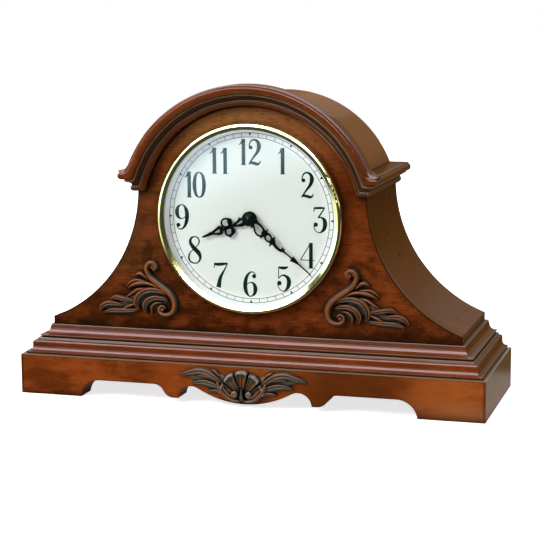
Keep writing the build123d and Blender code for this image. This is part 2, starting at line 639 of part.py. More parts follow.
def barrel_face(radius):
    """Part of a circle about the dial centre that lies above the cornice line."""
    x = math.sqrt(radius**2 - CORNICE_RISE**2)
    return make_face([over_arc(radius, CORNICE_Z), Line((-x, CORNICE_Z), (x, CORNICE_Z))])


def arch_top():
    """Barrel-shaped top of the case."""
    shell = barrel_face(BARREL_RADIUS) - barrel_face(BARREL_RADIUS - BARREL_THICKNESS)
    return slab(shell, BOARD_BACK_Y, BACK_Y)


def cornice_profile(depth):
    """Nose over a cove, drawn as (distance back from the nose tip, height), down to a given depth."""
    riser = CORNICE_NOSE_RADIUS + CORNICE_NOSE_STEP
    foot = riser + CORNICE_COVE_RADIUS
    nose_bottom = CORNICE_NOSE_HEIGHT - CORNICE_NOSE_RADIUS
    cove_top = CORNICE_FOOT + CORNICE_COVE_RADIUS
    rise = CORNICE_HEIGHT - CORNICE_NOSE_HEIGHT
    nose_top = CORNICE_NOSE_RADIUS - math.sqrt(CORNICE_NOSE_RADIUS**2 - rise**2)
    low = Polyline((depth, 0), (foot, 0), (foot, CORNICE_FOOT))
    cove = CenterArc((riser, CORNICE_FOOT), CORNICE_COVE_RADIUS, 0, 90)
    step = Polyline((riser, cove_top), (riser, nose_bottom), (CORNICE_NOSE_RADIUS, nose_bottom))
    nose = ThreePointArc(
        (CORNICE_NOSE_RADIUS, nose_bottom), (0, CORNICE_NOSE_HEIGHT), (nose_top, CORNICE_HEIGHT)
    )
    top = Polyline((nose_top, CORNICE_HEIGHT), (depth, CORNICE_HEIGHT), (depth, 0))
    return make_face([low, cove, step, nose, top])


def mitre_point(height):
    """Where the arch and the ear meet, at a height up their shared profile."""
    radius = ARCH_INNER_RADIUS + height
    rise = CORNICE_RISE + height
    return (math.sqrt(radius**2 - rise**2), CORNICE_Z + height)


def ear_region():
    """Part of the front that belongs to the right ear: outside the curved mitre with the arch."""
    low, middle, high = [mitre_point(height) for height in (0, CORNICE_HEIGHT / 2, CORNICE_HEIGHT)]
    mitre = ThreePointArc(low, middle, high)
    rest = Polyline(high, (HALF_WIDTH, high[1]), (HALF_WIDTH, low[1]), low)
    return slab(make_face([mitre, rest]), CORNICE_TIP_Y, BOARD_FRONT_Y)


def arch_moulding():
    """Half ring of the cornice profile over the dial, cut to meet the ears."""
    section_plane = Plane((ARCH_INNER_RADIUS, 0, 0), x_dir=(0, 1, 0), z_dir=(0, 0, -1))
    section = section_plane * cornice_profile(CORNICE_FRONT_PROJECTION)
    ring = Pos(0, CORNICE_TIP_Y, DIAL_HEIGHT) * revolve(section, Axis.Y)
    above = block(-HALF_WIDTH, HALF_WIDTH, CORNICE_TIP_Y, BOARD_FRONT_Y, CORNICE_Z, CORNICE_Z + HALF_WIDTH)
    ear = ear_region()
    return (ring & above) - ear - mirrored(ear)


def right_cornice(arch):
    """Front ear and side return, mitred at the corner and cut to meet the arch."""
    front_plane = Plane((0, CORNICE_TIP_Y, CORNICE_Z), x_dir=(0, 1, 0), z_dir=(1, 0, 0))
    ear = extrude(front_plane * cornice_profile(CORNICE_FRONT_PROJECTION), amount=CORNICE_TIP_X)
    inner_x = CORNICE_TIP_X - CORNICE_FRONT_PROJECTION
    top = CORNICE_Z + CORNICE_HEIGHT
    corner = (CORNICE_TIP_X, CORNICE_TIP_Y)
    ear_plan = [(0, CORNICE_TIP_Y), corner, (inner_x, BOARD_FRONT_Y), (0, BOARD_FRONT_Y)]
    ear = ear & plan_prism(ear_plan, CORNICE_Z, top) & ear_region()
    depth = CORNICE_TIP_X - mitre_point(0)[0] + CORNICE_FRONT_PROJECTION
    side_plane = Plane((CORNICE_TIP_X, CORNICE_TIP_Y, CORNICE_Z), x_dir=(-1, 0, 0), z_dir=(0, 1, 0))
    side = extrude(side_plane * cornice_profile(depth), amount=BACK_Y - CORNICE_TIP_Y)
    side_plan = [
        corner, (CORNICE_TIP_X, BACK_Y), (0, BACK_Y), (0, BOARD_FRONT_Y), (inner_x, BOARD_FRONT_Y)
    ]
    side = side & plan_prism(side_plan, CORNICE_Z, top)
    side -= slab(front_board_outline(), BOARD_FRONT_Y, BOARD_BACK_Y)
    side -= rod_y(BARREL_RADIUS, 0, DIAL_HEIGHT, BOARD_BACK_Y, BACK_Y)
    return group([ear, side - arch])


# Back frame and door

def door_outline(grow):
    """Round-topped door shape, grown outward by an amount."""
    reach = DOOR_HALF_WIDTH + grow
    bottom = DOOR_BOTTOM - grow
    sides = Polyline((-reach, DIAL_HEIGHT), (-reach, bottom), (reach, bottom), (reach, DIAL_HEIGHT))
    return make_face([sides, over_arc(reach, DIAL_HEIGHT)])


def back_frame():
    """Fixed back panel with the door opening, fitted inside the case."""
    offset = SIDE_REVEAL + SIDE_THICKNESS + BACK_FIT
    half = [shoulder_arc(offset, BASE_TOP, CORNICE_Z)]
    barrel = BARREL_RADIUS - BARREL_THICKNESS - BACK_FIT
    barrel_x = math.sqrt(barrel**2 - CORNICE_RISE**2)
    half.append(Line((shoulder_x(offset, CORNICE_Z), CORNICE_Z), (barrel_x, CORNICE_Z)))
    foot_x = shoulder_x(offset, BASE_TOP)
    foot = Line((-foot_x, BASE_TOP), (foot_x, BASE_TOP))
    panel = make_face([foot, *half, over_arc(barrel, CORNICE_Z), *mirrored_edges(half)])
    frame = slab(panel - door_outline(DOOR_GAP), BACK_INNER_Y, BACK_FACE_Y)
    return frame - hinge_screw_bores(HINGE_RISES, -1)


def back_door():
    """Round-topped door with a row of sound slots."""
    slots = []
    slot_z = DOOR_BOTTOM + SOUND_SLOT_RISE + SOUND_SLOT_HEIGHT / 2
    for index in range(SOUND_SLOT_COUNT):
        x = (index - (SOUND_SLOT_COUNT - 1) / 2) * SOUND_SLOT_PITCH
        slots.append(Pos(x, slot_z) * SlotOverall(SOUND_SLOT_HEIGHT, SOUND_SLOT_WIDTH, rotation=90))
    return slab(door_outline(0) - slots, BACK_INNER_Y, BACK_FACE_Y) - hinge_screw_bores(HINGE_RISES, 1)


def hinge_spans(rise):
    """Heights of the three knuckles of one hinge."""
    bottom = DOOR_BOTTOM + rise
    share = HINGE_HEIGHT / HINGE_KNUCKLES
    return [(bottom + index * share, bottom + (index + 1) * share) for index in range(HINGE_KNUCKLES)]


def hinge_leaf(rise, side, own, bore):
    """Leaf on one side of the pin with its own knuckles."""
    spans = hinge_spans(rise)
    clear = HINGE_KNUCKLE_RADIUS + HINGE_KNUCKLE_GAP
    far = HINGE_X + side * (clear + HINGE_LEAF_WIDTH)
    near = HINGE_X + side * clear
    x0, x1 = min(near, far), max(near, far)
    y1 = BACK_FACE_Y + HINGE_LEAF_THICKNESS
    leaf = block(x0, x1, BACK_FACE_Y, y1, spans[0][0], spans[-1][1])
    for index in own:
        low = spans[index][0] + HINGE_KNUCKLE_GAP / 2
        high = spans[index][1] - HINGE_KNUCKLE_GAP / 2
        tab_x = sorted((HINGE_X, near))
        leaf += block(tab_x[0], tab_x[1], BACK_FACE_Y + HINGE_SEAT, y1, low, high)
        leaf += rod_z(HINGE_KNUCKLE_RADIUS, HINGE_X, HINGE_Y, low, high)
    leaf -= rod_z(bore, HINGE_X, HINGE_Y, spans[0][0], spans[-1][1])
    return leaf - hinge_screw_bores([rise], side)


def hinge_leaves(side, own, bore):
    """Leaves of both hinges on one side of the pin."""
    return group([hinge_leaf(rise, side, own, bore) for rise in HINGE_RISES])


def hinge_screw_places(rise, side):
    """Two screws in one hinge leaf."""
    spans = hinge_spans(rise)
    x = HINGE_X + side * (HINGE_KNUCKLE_RADIUS + HINGE_KNUCKLE_GAP + HINGE_LEAF_WIDTH / 2)
    quarter = HINGE_HEIGHT / 4
    return [(x, spans[0][0] + quarter), (x, spans[-1][1] - quarter)]


def hinge_screw_bores(rises, side):
    """Holes for the screws of one side's hinge leaves."""
    seat_y = BACK_FACE_Y + HINGE_LEAF_THICKNESS
    places = [place for rise in rises for place in hinge_screw_places(rise, side)]
    return [rod_y(SCREW_RADIUS, *place, seat_y - SCREW_LENGTH, seat_y) for place in places]


def hinge_screws(side):
    """Screws of one side's hinge leaves."""
    seat_y = BACK_FACE_Y + HINGE_LEAF_THICKNESS
    return [back_screw(*place, seat_y) for rise in HINGE_RISES for place in hinge_screw_places(rise, side)]


def screw(length):
    """Slotted screw along Z, with its head above the origin."""
    head = rod_z(SCREW_HEAD_RADIUS, 0, 0, 0, SCREW_HEAD_HEIGHT)
    reach = SCREW_HEAD_RADIUS
    half_slot = SCREW_SLOT_WIDTH / 2
    slot_floor = SCREW_HEAD_HEIGHT - SCREW_SLOT_DEPTH
    slot = block(-reach, reach, -half_slot, half_slot, slot_floor, SCREW_HEAD_HEIGHT)
    return head + rod_z(SCREW_RADIUS, 0, 0, -length, 0) - slot


def back_screw(x, z, seat_y, length=SCREW_LENGTH):
    """Screw driven forward, with its head behind seat_y."""
    return Pos(x, seat_y, z) * Rot(-90, 0, 0) * screw(length)


def hinge_pins():
    """Pin of each hinge, through all three knuckles."""
    pins = []
    for rise in HINGE_RISES:
        spans = hinge_spans(rise)
        pins.append(rod_z(HINGE_PIN_RADIUS, HINGE_X, HINGE_Y, spans[0][0], spans[-1][1]))
    return group(pins)


def knob_place():
    """X and Z of the door knob."""
    return DOOR_HALF_WIDTH - KNOB_INSET, DOOR_BOTTOM + KNOB_RISE


def door_knob():
    """Small turned knob, within the recess of the back."""
    x, z = knob_place()
    tip_y = BACK_FACE_Y + KNOB_REACH
    ball_y = tip_y - KNOB_RADIUS
    neck_y = ball_y - math.sqrt(KNOB_RADIUS**2 - KNOB_NECK_RADIUS**2)
    base = Polyline((0, BACK_FACE_Y), (KNOB_RADIUS, BACK_FACE_Y), (KNOB_NECK_RADIUS, neck_y))
    ball = ThreePointArc((KNOB_NECK_RADIUS, neck_y), (KNOB_RADIUS, ball_y), (0, tip_y))
    axis = Line((0, tip_y), (0, BACK_FACE_Y))
    return Pos(x, 0, z) * revolve(make_face([base, ball, axis]), Axis.Y)


def catch_spans():
    """Lowest and highest Z of the magnetic catch."""
    low = DOOR_BOTTOM + CATCH_RISE
    return low, low + CATCH_HEIGHT


def magnet_catch():
    """Catch on the inside of the frame, with a tongue that reaches behind the door."""
    low, high = catch_spans()
    frame_x = DOOR_HALF_WIDTH + DOOR_GAP + STRIKE_MARGIN
    front = BACK_INNER_Y - CATCH_DEPTH
    body = block(frame_x, frame_x + CATCH_WIDTH, front, BACK_INNER_Y, low, high)
    tongue_y = BACK_INNER_Y - STRIKE_THICKNESS - CATCH_GAP
    tongue = block(DOOR_HALF_WIDTH - CATCH_REACH, frame_x, front, tongue_y, low, high)
    return body + tongue


def strike_plate():
    """Steel plate on the inside of the door, in front of the catch's tongue."""
    low, high = catch_spans()
    x1 = DOOR_HALF_WIDTH - STRIKE_MARGIN
    return block(x1 - CATCH_REACH, x1, BACK_INNER_Y - STRIKE_THICKNESS, BACK_INNER_Y,
                 low + STRIKE_MARGIN, high - STRIKE_MARGIN)


# Carvings

def stroke(points, widths):
    """Leaf or stem: a smooth line with a width that runs through start, middle and end values."""
    start, middle, end = widths
    line = Spline(*points)
    left = []
    right = []
    for station in range(STROKE_STATIONS):
        t = station / (STROKE_STATIONS - 1)
        width = start * (1 - t) * (1 - 2 * t) + 4 * middle * t * (1 - t) + end * t * (2 * t - 1)
        tangent = line % t
        side = Vector(-tangent.Y, tangent.X) * (width / 2)
        left.append(line @ t + side)
        right.append(line @ t - side)
    edges = [Spline(*left), Line(left[-1], right[-1]), Spline(*right), Line(right[0], left[0])]
    return make_face(edges)


def right_scroll():
    """Scroll and leaf carving on the right of the front board, in steps of relief."""
    carving = None
    layers = [(stroke(points, widths), share) for points, widths, share in SCROLL_STROKES]
    layers += [(Pos(*place) * Circle(radius), 1.0) for place, radius in SCROLL_VOLUTES]
    for outline, share in layers:
        raised = Pos(0, BASE_TOP) * outline
        layer = slab(raised, BOARD_FRONT_Y - SCROLL_RELIEF * share, BOARD_FRONT_Y)
        carving = layer if carving is None else carving + layer
    return carving


def shell_carving():
    """Fan shell with leaves to both sides, on the front apron."""
    layers = []
    for points, widths, share in SHELL_STROKES:
        leaf = stroke(points, widths)
        layers += [(leaf, share), (mirror(leaf, about=Plane.YZ), share)]
    for index in range(SHELL_FLUTES):
        angle = SHELL_HALF_ANGLE * (2 * index / (SHELL_FLUTES - 1) - 1)
        lean = math.radians(angle)
        reach = SHELL_TOP_REACH * math.cos(lean) ** 2 + SHELL_SIDE_REACH * math.sin(lean) ** 2
        root = (0, SHELL_ROOT_HEIGHT)
        middle = (reach / 2 * math.sin(lean), SHELL_ROOT_HEIGHT + reach / 2 * math.cos(lean))
        tip = (reach * math.sin(lean), SHELL_ROOT_HEIGHT + reach * math.cos(lean))
        layers.append((stroke([root, middle, tip], SHELL_FLUTE_WIDTHS), SHELL_FLUTE_SHARE))
    for x in (-SHELL_EYE_X, SHELL_EYE_X):
        layers.append((Pos(x, SHELL_EYE_HEIGHT) * Circle(SHELL_EYE_RADIUS), 1.0))
    carving = None
    for outline, share in layers:
        layer = slab(outline, FRONT_Y - SHELL_RELIEF * share, FRONT_Y)
        carving = layer if carving is None else carving + layer
    return carving


# Bezel, glass and dial

def bezel_screw_places():
    """Places of the bezel screws round the dial opening."""
    radius = (DIAL_RADIUS + DIAL_CLEARANCE + BEZEL_RADIUS) / 2
    places = []
    for index in range(BEZEL_SCREW_COUNT):
        angle = math.radians(BEZEL_SCREW_START + index * 360 / BEZEL_SCREW_COUNT)
        places.append((radius * math.cos(angle), DIAL_HEIGHT + radius * math.sin(angle)))
    return places


def bezel():
    """Brass ring with a round shoulder, a lip over the glass and a skirt that holds the dial."""
    front = BOARD_FRONT_Y - BEZEL_HEIGHT
    lip_y = BOARD_FRONT_Y - BEZEL_LIP_HEIGHT
    seat_y = glass_seat_y()
    shoulder_y = BOARD_FRONT_Y - BEZEL_EDGE_HEIGHT
    crest = BEZEL_RADIUS - BEZEL_WIDTH / 2
    outside = Polyline(
        (GLASS_SEAT_RADIUS, DIAL_FRONT_Y), (DIAL_RADIUS, DIAL_FRONT_Y), (DIAL_RADIUS, BOARD_FRONT_Y),
        (BEZEL_RADIUS, BOARD_FRONT_Y), (BEZEL_RADIUS, shoulder_y)
    )
    diagonal = math.sqrt(0.5)
    middle = (crest + (BEZEL_RADIUS - crest) * diagonal, shoulder_y + (front - shoulder_y) * diagonal)
    shoulder = ThreePointArc((BEZEL_RADIUS, shoulder_y), middle, (crest, front))
    inside = Polyline(
        (crest, front), (BEZEL_INNER_RADIUS, lip_y), (BEZEL_INNER_RADIUS, seat_y),
        (GLASS_SEAT_RADIUS, seat_y), (GLASS_SEAT_RADIUS, DIAL_FRONT_Y)
    )
    ring = Pos(0, 0, DIAL_HEIGHT) * revolve(make_face([outside, shoulder, inside]), Axis.Y)
    depth = BOARD_FRONT_Y - BEZEL_SCREW_DEPTH
    return ring - [rod_y(SCREW_RADIUS, x, z, depth, BOARD_FRONT_Y) for x, z in bezel_screw_places()]


def glass_seat_y():
    """Front of the glass rim, against the bezel's lip."""
    return BOARD_FRONT_Y - BEZEL_LIP_HEIGHT + BEZEL_LIP / 2


def crystal():
    """Convex glass with a flat rim."""
    rim_front = glass_seat_y()
    rim_back = rim_front + GLASS_THICKNESS
    rim = GLASS_SEAT_RADIUS - GLASS_CLEARANCE
    dome = BEZEL_INNER_RADIUS - GLASS_CLEARANCE
    inner = dome - BEZEL_LIP / 2
    edge = Polyline((inner, rim_back), (rim, rim_back), (rim, rim_front), (dome, rim_front))
    axis = Line((0, rim_front - GLASS_RISE), (0, rim_back - GLASS_RISE))
    outside = dome_arc(dome, rim_front, GLASS_RISE)
    inside = dome_arc(inner, rim_back, GLASS_RISE)
    return Pos(0, 0, DIAL_HEIGHT) * revolve(make_face([edge, outside, axis, inside]), Axis.Y)


def crystal_retainer():
    """Split-ring seat behind the glass."""
    front = glass_seat_y() + GLASS_THICKNESS
    rear = front + RETAINER_HEIGHT
    inner = GLASS_SEAT_RADIUS - BEZEL_LIP
    ring = rod_y(GLASS_SEAT_RADIUS, 0, DIAL_HEIGHT, front, rear)
    return ring - rod_y(inner, 0, DIAL_HEIGHT, front, rear)


def dial():
    """Dial plate in the board's rebate."""
    plate = rod_y(DIAL_RADIUS, 0, DIAL_HEIGHT, DIAL_FRONT_Y, MOVEMENT_Y)
    return plate - rod_y(BUSHING_RADIUS + BUSHING_CLEARANCE, 0, DIAL_HEIGHT, DIAL_FRONT_Y, MOVEMENT_Y)


# Hands, drawn pointing up from the centre

def oval_ring(v, across, along, wall):
    """Open oval on the hand's axis."""
    outer = Ellipse(across + wall, along + wall)
    return Pos(0, v) * (outer - Ellipse(across, along))


def spurs(v, reach, rise, thickness):
    """Pair of pointed spurs across the hand."""
    half = thickness / 2
    return Polyline((0, v - half), (reach, v + rise), (0, v + half), (-reach, v + rise), close=True)


def taper(foot, foot_width, tip, tip_width):
    """Straight taper along the hand's axis."""
    half_foot = foot_width / 2
    half_tip = tip_width / 2
    corners = [(-half_foot, foot), (half_foot, foot), (half_tip, tip), (-half_tip, tip)]
    return make_face(Polyline(*corners, close=True))


def minute_hand_outline():
    """Serpentine minute hand: two ovals, spurred knots, a bowed stem, a barb and a needle."""
    shape = Circle(HAND_HUB_RADIUS)
    shape += taper(0, 2 * MINUTE_STEM, MINUTE_NECK, 2 * MINUTE_STEM)
    for height, across, along in MINUTE_OVALS:
        shape += oval_ring(height, across, along, MINUTE_STEM)
    for height, reach, rise in MINUTE_SPURS:
        shape += make_face(spurs(height, reach, rise, MINUTE_SPUR_THICKNESS))
    shape += stroke(MINUTE_BOW, MINUTE_BOW_WIDTHS)
    shape += taper(NEEDLE_FOOT, NEEDLE_FOOT_WIDTH, MINUTE_HAND_LENGTH, NEEDLE_TIP_WIDTH)
    shape += taper(BARB_CORNER, BARB_WIDTH, BARB_TIP, BARB_TIP_WIDTH)
    return shape + taper(BARB_FOOT, BARB_TIP_WIDTH, BARB_CORNER, BARB_WIDTH)


def hour_hand_outline():
    """Serpentine hour hand: an open fork, two side rings with buds, and a pierced lozenge tip."""
    shape = Circle(HAND_HUB_RADIUS)
    ring_x, ring_height = HOUR_RING_PLACE
    half_wire = HOUR_STEM / 2
    ring = Circle(HOUR_RING_RADIUS + half_wire) - Circle(HOUR_RING_RADIUS - half_wire)
    for side in (-1, 1):
        lines = [
            (HOUR_ARM, (HOUR_STEM, HOUR_STEM, HOUR_STEM)),
            (HOUR_TAIL, (HOUR_TAIL_TIP, HOUR_STEM, HOUR_STEM)),
            (HOUR_LOZENGE, HOUR_LOZENGE_WIDTHS),
        ]
        for points, widths in lines:
            shape += stroke([(side * x, height) for x, height in points], widths)
        shape += Pos(side * ring_x, ring_height) * ring
        shape += Pos(side * ring_x, ring_height - HOUR_BUD_DROP) * Circle(HOUR_BUD_RADIUS)
    shape += make_face(spurs(*HOUR_SPUR, HOUR_SPUR_THICKNESS))
    return shape + taper(HOUR_POINT_FOOT, HOUR_POINT_WIDTH, HOUR_HAND_LENGTH, HOUR_TIP_WIDTH)


def placed_hand(outline, turn, y, bore):
    """Hand turned clockwise from twelve and set on the dial axis."""
    flat = Pos(0, DIAL_HEIGHT) * Rot(0, 0, -turn) * outline
    hand = slab(flat, y - HAND_THICKNESS, y)
    return hand - rod_y(bore, 0, DIAL_HEIGHT, y - HAND_THICKNESS, y)


def hand_nut():
    """Domed nut on the front of the minute arbor."""
    rim_y = HAND_NUT_Y - HAND_NUT_RIM
    base = Polyline((0, HAND_NUT_Y), (HAND_NUT_RADIUS, HAND_NUT_Y), (HAND_NUT_RADIUS, rim_y))
    crown_y = HAND_NUT_Y - HAND_NUT_HEIGHT
    dome = dome_arc(HAND_NUT_RADIUS, rim_y, rim_y - crown_y)
    profile = make_face([base, dome, Line((0, crown_y), (0, HAND_NUT_Y))])
    nut = Pos(0, 0, DIAL_HEIGHT) * revolve(profile, Axis.Y)
    return nut - rod_y(ARBOR_RADIUS, 0, DIAL_HEIGHT, arbor_tip_y(), HAND_NUT_Y)


def arbor_tip_y():
    """Front end of the minute arbor, half way into its nut."""
    return HAND_NUT_Y - HAND_NUT_HEIGHT / 2


# Motion work

def gear_face(teeth, module, phase):
    """Involute gear with one tooth centred at the phase angle, in degrees."""
    pitch = module * teeth / 2
    pressure = math.radians(PRESSURE_ANGLE)
    base = pitch * math.cos(pressure)
    tip = pitch + ADDENDUM * module
    root = pitch - DEDENDUM * module
    half = math.pi / (2 * teeth) - BACKLASH / (2 * pitch)

    def involute(angle):
        return math.tan(angle) - angle

    low = max(base, root)
    flank = []
    for share in (0.0, 0.5, 1.0):
        radius = low + (tip - low) * share
        spread = half + involute(pressure) - involute(math.acos(min(1.0, base / radius)))
        flank.append((radius, spread))
    if root < base:
        flank.insert(0, (root, flank[0][1]))
    points = []
    for tooth in range(teeth):
        middle = math.radians(phase) + tooth * 2 * math.pi / teeth
        rising = [(radius, middle - spread) for radius, spread in flank]
        falling = [(radius, middle + spread) for radius, spread in reversed(flank)]
        points += [(r * math.cos(a), r * math.sin(a)) for r, a in rising + falling]
    return make_face(Polyline(*points, close=True))


def meshed_phase(phase, teeth, other_teeth, direction):
    """Phase of a gear that meshes with another, which lies in the opposite direction."""
    pitch = 360.0 / teeth
    share = ((direction - phase) / pitch) % 1.0
    return direction + 180.0 + (share + 0.5) * 360.0 / other_teeth


def step_from(place, direction, distance):
    """Point at a distance and direction, in degrees, from another."""
    angle = math.radians(direction)
    return place[0] + distance * math.cos(angle), place[1] + distance * math.sin(angle)


CENTRE = (0.0, DIAL_HEIGHT)
TRAIN_DISTANCE = TRAIN_MODULE * (CANNON_TEETH + MINUTE_WHEEL_TEETH) / 2
SETTING_DISTANCE = TRAIN_MODULE * (SETTING_TEETH + MINUTE_WHEEL_TEETH) / 2
DRIVE_DISTANCE = TRAIN_MODULE * (CENTRE_WHEEL_TEETH + DRIVE_TEETH) / 2
MINUTE_WHEEL_PLACE = step_from(CENTRE, MINUTE_WHEEL_DIRECTION, TRAIN_DISTANCE)
SETTING_PLACE = step_from(MINUTE_WHEEL_PLACE, MINUTE_WHEEL_DIRECTION, SETTING_DISTANCE)
DRIVE_PLACE = step_from(CENTRE, DRIVE_DIRECTION, DRIVE_DISTANCE)
HOUR_PITCH = 2 * TRAIN_DISTANCE / (HOUR_WHEEL_TEETH + MINUTE_PINION_TEETH)
CANNON_PHASE = MINUTE_WHEEL_DIRECTION
MINUTE_WHEEL_PHASE = meshed_phase(CANNON_PHASE, CANNON_TEETH, MINUTE_WHEEL_TEETH, MINUTE_WHEEL_DIRECTION)
SETTING_PHASE = meshed_phase(MINUTE_WHEEL_PHASE, MINUTE_WHEEL_TEETH, SETTING_TEETH, MINUTE_WHEEL_DIRECTION)
MINUTE_PINION_PHASE = MINUTE_WHEEL_DIRECTION + 180.0
HOUR_PHASE = meshed_phase(
    MINUTE_PINION_PHASE, MINUTE_PINION_TEETH, HOUR_WHEEL_TEETH, MINUTE_WHEEL_DIRECTION + 180.0
)
CENTRE_PHASE = DRIVE_DIRECTION
DRIVE_PHASE = meshed_phase(CENTRE_PHASE, CENTRE_WHEEL_TEETH, DRIVE_TEETH, DRIVE_DIRECTION)


def gear(teeth, module, phase, place, y0, y1):
    """Solid gear at a place on the dial plane."""
    return slab(Pos(*place) * gear_face(teeth, module, phase), y0, y1)


def pinion(teeth, phase, place, level):
    """Pinion a little longer than the wheel that it drives."""
    front = level - PINION_OVERLAP
    rear = level + GEAR_THICKNESS + PINION_OVERLAP
    return gear(teeth, TRAIN_MODULE, phase, place, front, rear)


def minute_arbor():
    """Arbor with the cannon pinion and centre wheel, pivoted in the bridge."""
    body_end = BRIDGE_Y - GEAR_SPACE / 2
    arbor = rod_y(ARBOR_RADIUS, *CENTRE, arbor_tip_y(), body_end)
    arbor += rod_y(PIVOT_RADIUS, *CENTRE, body_end, BRIDGE_REAR_Y)
    arbor += pinion(CANNON_TEETH, CANNON_PHASE, CENTRE, MINUTE_LEVEL)
    wheel_rear = CENTRE_LEVEL + GEAR_THICKNESS
    return arbor + gear(CENTRE_WHEEL_TEETH, TRAIN_MODULE, CENTRE_PHASE, CENTRE, CENTRE_LEVEL, wheel_rear)


def minute_wheel():
    """Wheel and pinion that turn on a stud of the movement tray."""
    place = MINUTE_WHEEL_PLACE
    front = HOUR_LEVEL - PINION_OVERLAP
    rear = MINUTE_LEVEL + GEAR_THICKNESS
    wheel = gear(MINUTE_WHEEL_TEETH, TRAIN_MODULE, MINUTE_WHEEL_PHASE, place, MINUTE_LEVEL, rear)
    small = gear(MINUTE_PINION_TEETH, HOUR_PITCH, MINUTE_PINION_PHASE, place, front, MINUTE_LEVEL)
    return wheel + small - rod_y(STUD_RADIUS + RUNNING_CLEARANCE, *place, front, rear)


def hour_wheel():
    """Hour wheel on its tube, which carries the hour hand."""
    rear = HOUR_LEVEL + GEAR_THICKNESS
    wheel = gear(HOUR_WHEEL_TEETH, HOUR_PITCH, HOUR_PHASE, CENTRE, HOUR_LEVEL, rear)
    front = HOUR_HAND_Y - HAND_THICKNESS
    wheel += rod_y(HOUR_TUBE_RADIUS, *CENTRE, front, rear)
    return wheel - rod_y(HOUR_TUBE_BORE, *CENTRE, front, rear)


def drive_pinion():
    """Pinion on the motor's shaft."""
    shaft_end = BRIDGE_REAR_Y + MOTOR_BORE_DEPTH
    shaft = rod_y(PIVOT_RADIUS, *DRIVE_PLACE, CENTRE_LEVEL - PINION_OVERLAP, shaft_end)
    return shaft + pinion(DRIVE_TEETH, DRIVE_PHASE, DRIVE_PLACE, CENTRE_LEVEL)


def set_knob():
    """Setting shaft with its pinion inside and a fluted knob outside the rear cover."""
    front = MOVEMENT_Y + MOVEMENT_WALL / 2 + RUNNING_CLEARANCE
    pinion_y = MINUTE_LEVEL - PINION_OVERLAP
    knob_y = COVER_REAR_Y + SETTING_KNOB_GAP
    knob = rod_y(SETTING_KNOB_RADIUS, *SETTING_PLACE, knob_y, knob_y + SETTING_KNOB_HEIGHT)
    flutes = []
    for index in range(SETTING_KNOB_FLUTES):
        spot = step_from(SETTING_PLACE, index * 360.0 / SETTING_KNOB_FLUTES, SETTING_KNOB_RADIUS)
        flutes.append(rod_y(SETTING_FLUTE_RADIUS, *spot, knob_y, knob_y + SETTING_KNOB_HEIGHT))
    shaft = rod_y(PIVOT_RADIUS, *SETTING_PLACE, front, pinion_y)
    shaft += rod_y(SETTING_SHAFT_RADIUS, *SETTING_PLACE, pinion_y, knob_y)
    shaft += pinion(SETTING_TEETH, SETTING_PHASE, SETTING_PLACE, MINUTE_LEVEL)
    return shaft + (knob - flutes)


# Movement

def post_places():
    """Posts that carry the bridge."""
    x = BRIDGE_HALF_WIDTH - POST_RADIUS
    low = GEAR_ROOM_FLOOR + POST_RADIUS + MOVEMENT_WALL / 2
    high = MOVEMENT_CEILING - MOVEMENT_WALL - POST_RADIUS - MOVEMENT_WALL / 2
    return [(side * x, z) for side in (-1, 1) for z in (low, high)]


def boss_places():
    """Bosses that carry the rear cover, against the tray's side walls."""
    x = MOVEMENT_HALF_WIDTH - MOVEMENT_WALL - BOSS_RADIUS / 2
    low = GEAR_ROOM_FLOOR + BOSS_RADIUS / 2
    high = MOVEMENT_CEILING - MOVEMENT_WALL - BOSS_RADIUS / 2
    return [(side * x, z) for side in (-1, 1) for z in (low, high)]


def movement_base():
    """Tray with the threaded bushing, the posts and bosses, and an open bay for two cells."""
    reach = MOVEMENT_HALF_WIDTH
    wall = MOVEMENT_WALL
    floor_y = MOVEMENT_Y + wall
    tray = block(-reach, reach, MOVEMENT_Y, MOVEMENT_REAR_Y, MOVEMENT_FLOOR, MOVEMENT_CEILING)
    inner = reach - wall
    tray -= block(-inner, inner, floor_y, MOVEMENT_REAR_Y, GEAR_ROOM_FLOOR, MOVEMENT_CEILING - wall)
    tray -= block(-BAY_HALF_WIDTH, BAY_HALF_WIDTH, floor_y, MOVEMENT_REAR_Y, MOVEMENT_FLOOR + wall, BAY_TOP)
    tray += rod_y(BUSHING_RADIUS, *CENTRE, NUT_FRONT_Y, MOVEMENT_Y)
    tray -= rod_y(HOUR_TUBE_RADIUS + RUNNING_CLEARANCE, *CENTRE, NUT_FRONT_Y, floor_y)
    tray += rod_y(STUD_RADIUS, *MINUTE_WHEEL_PLACE, floor_y, MINUTE_LEVEL + GEAR_THICKNESS + PINION_OVERLAP)
    for place in post_places():
        tray += rod_y(POST_RADIUS, *place, floor_y, BRIDGE_Y)
        tray -= rod_y(SCREW_RADIUS, *place, BRIDGE_REAR_Y - SCREW_LENGTH, BRIDGE_Y)
    for place in boss_places():
        tray += rod_y(BOSS_RADIUS, *place, floor_y, MOVEMENT_REAR_Y)
        tray -= rod_y(SCREW_RADIUS, *place, COVER_REAR_Y - SCREW_LENGTH, MOVEMENT_REAR_Y)
    return tray - rod_y(PIVOT_RADIUS + RUNNING_CLEARANCE, *SETTING_PLACE, MOVEMENT_Y + wall / 2, floor_y)


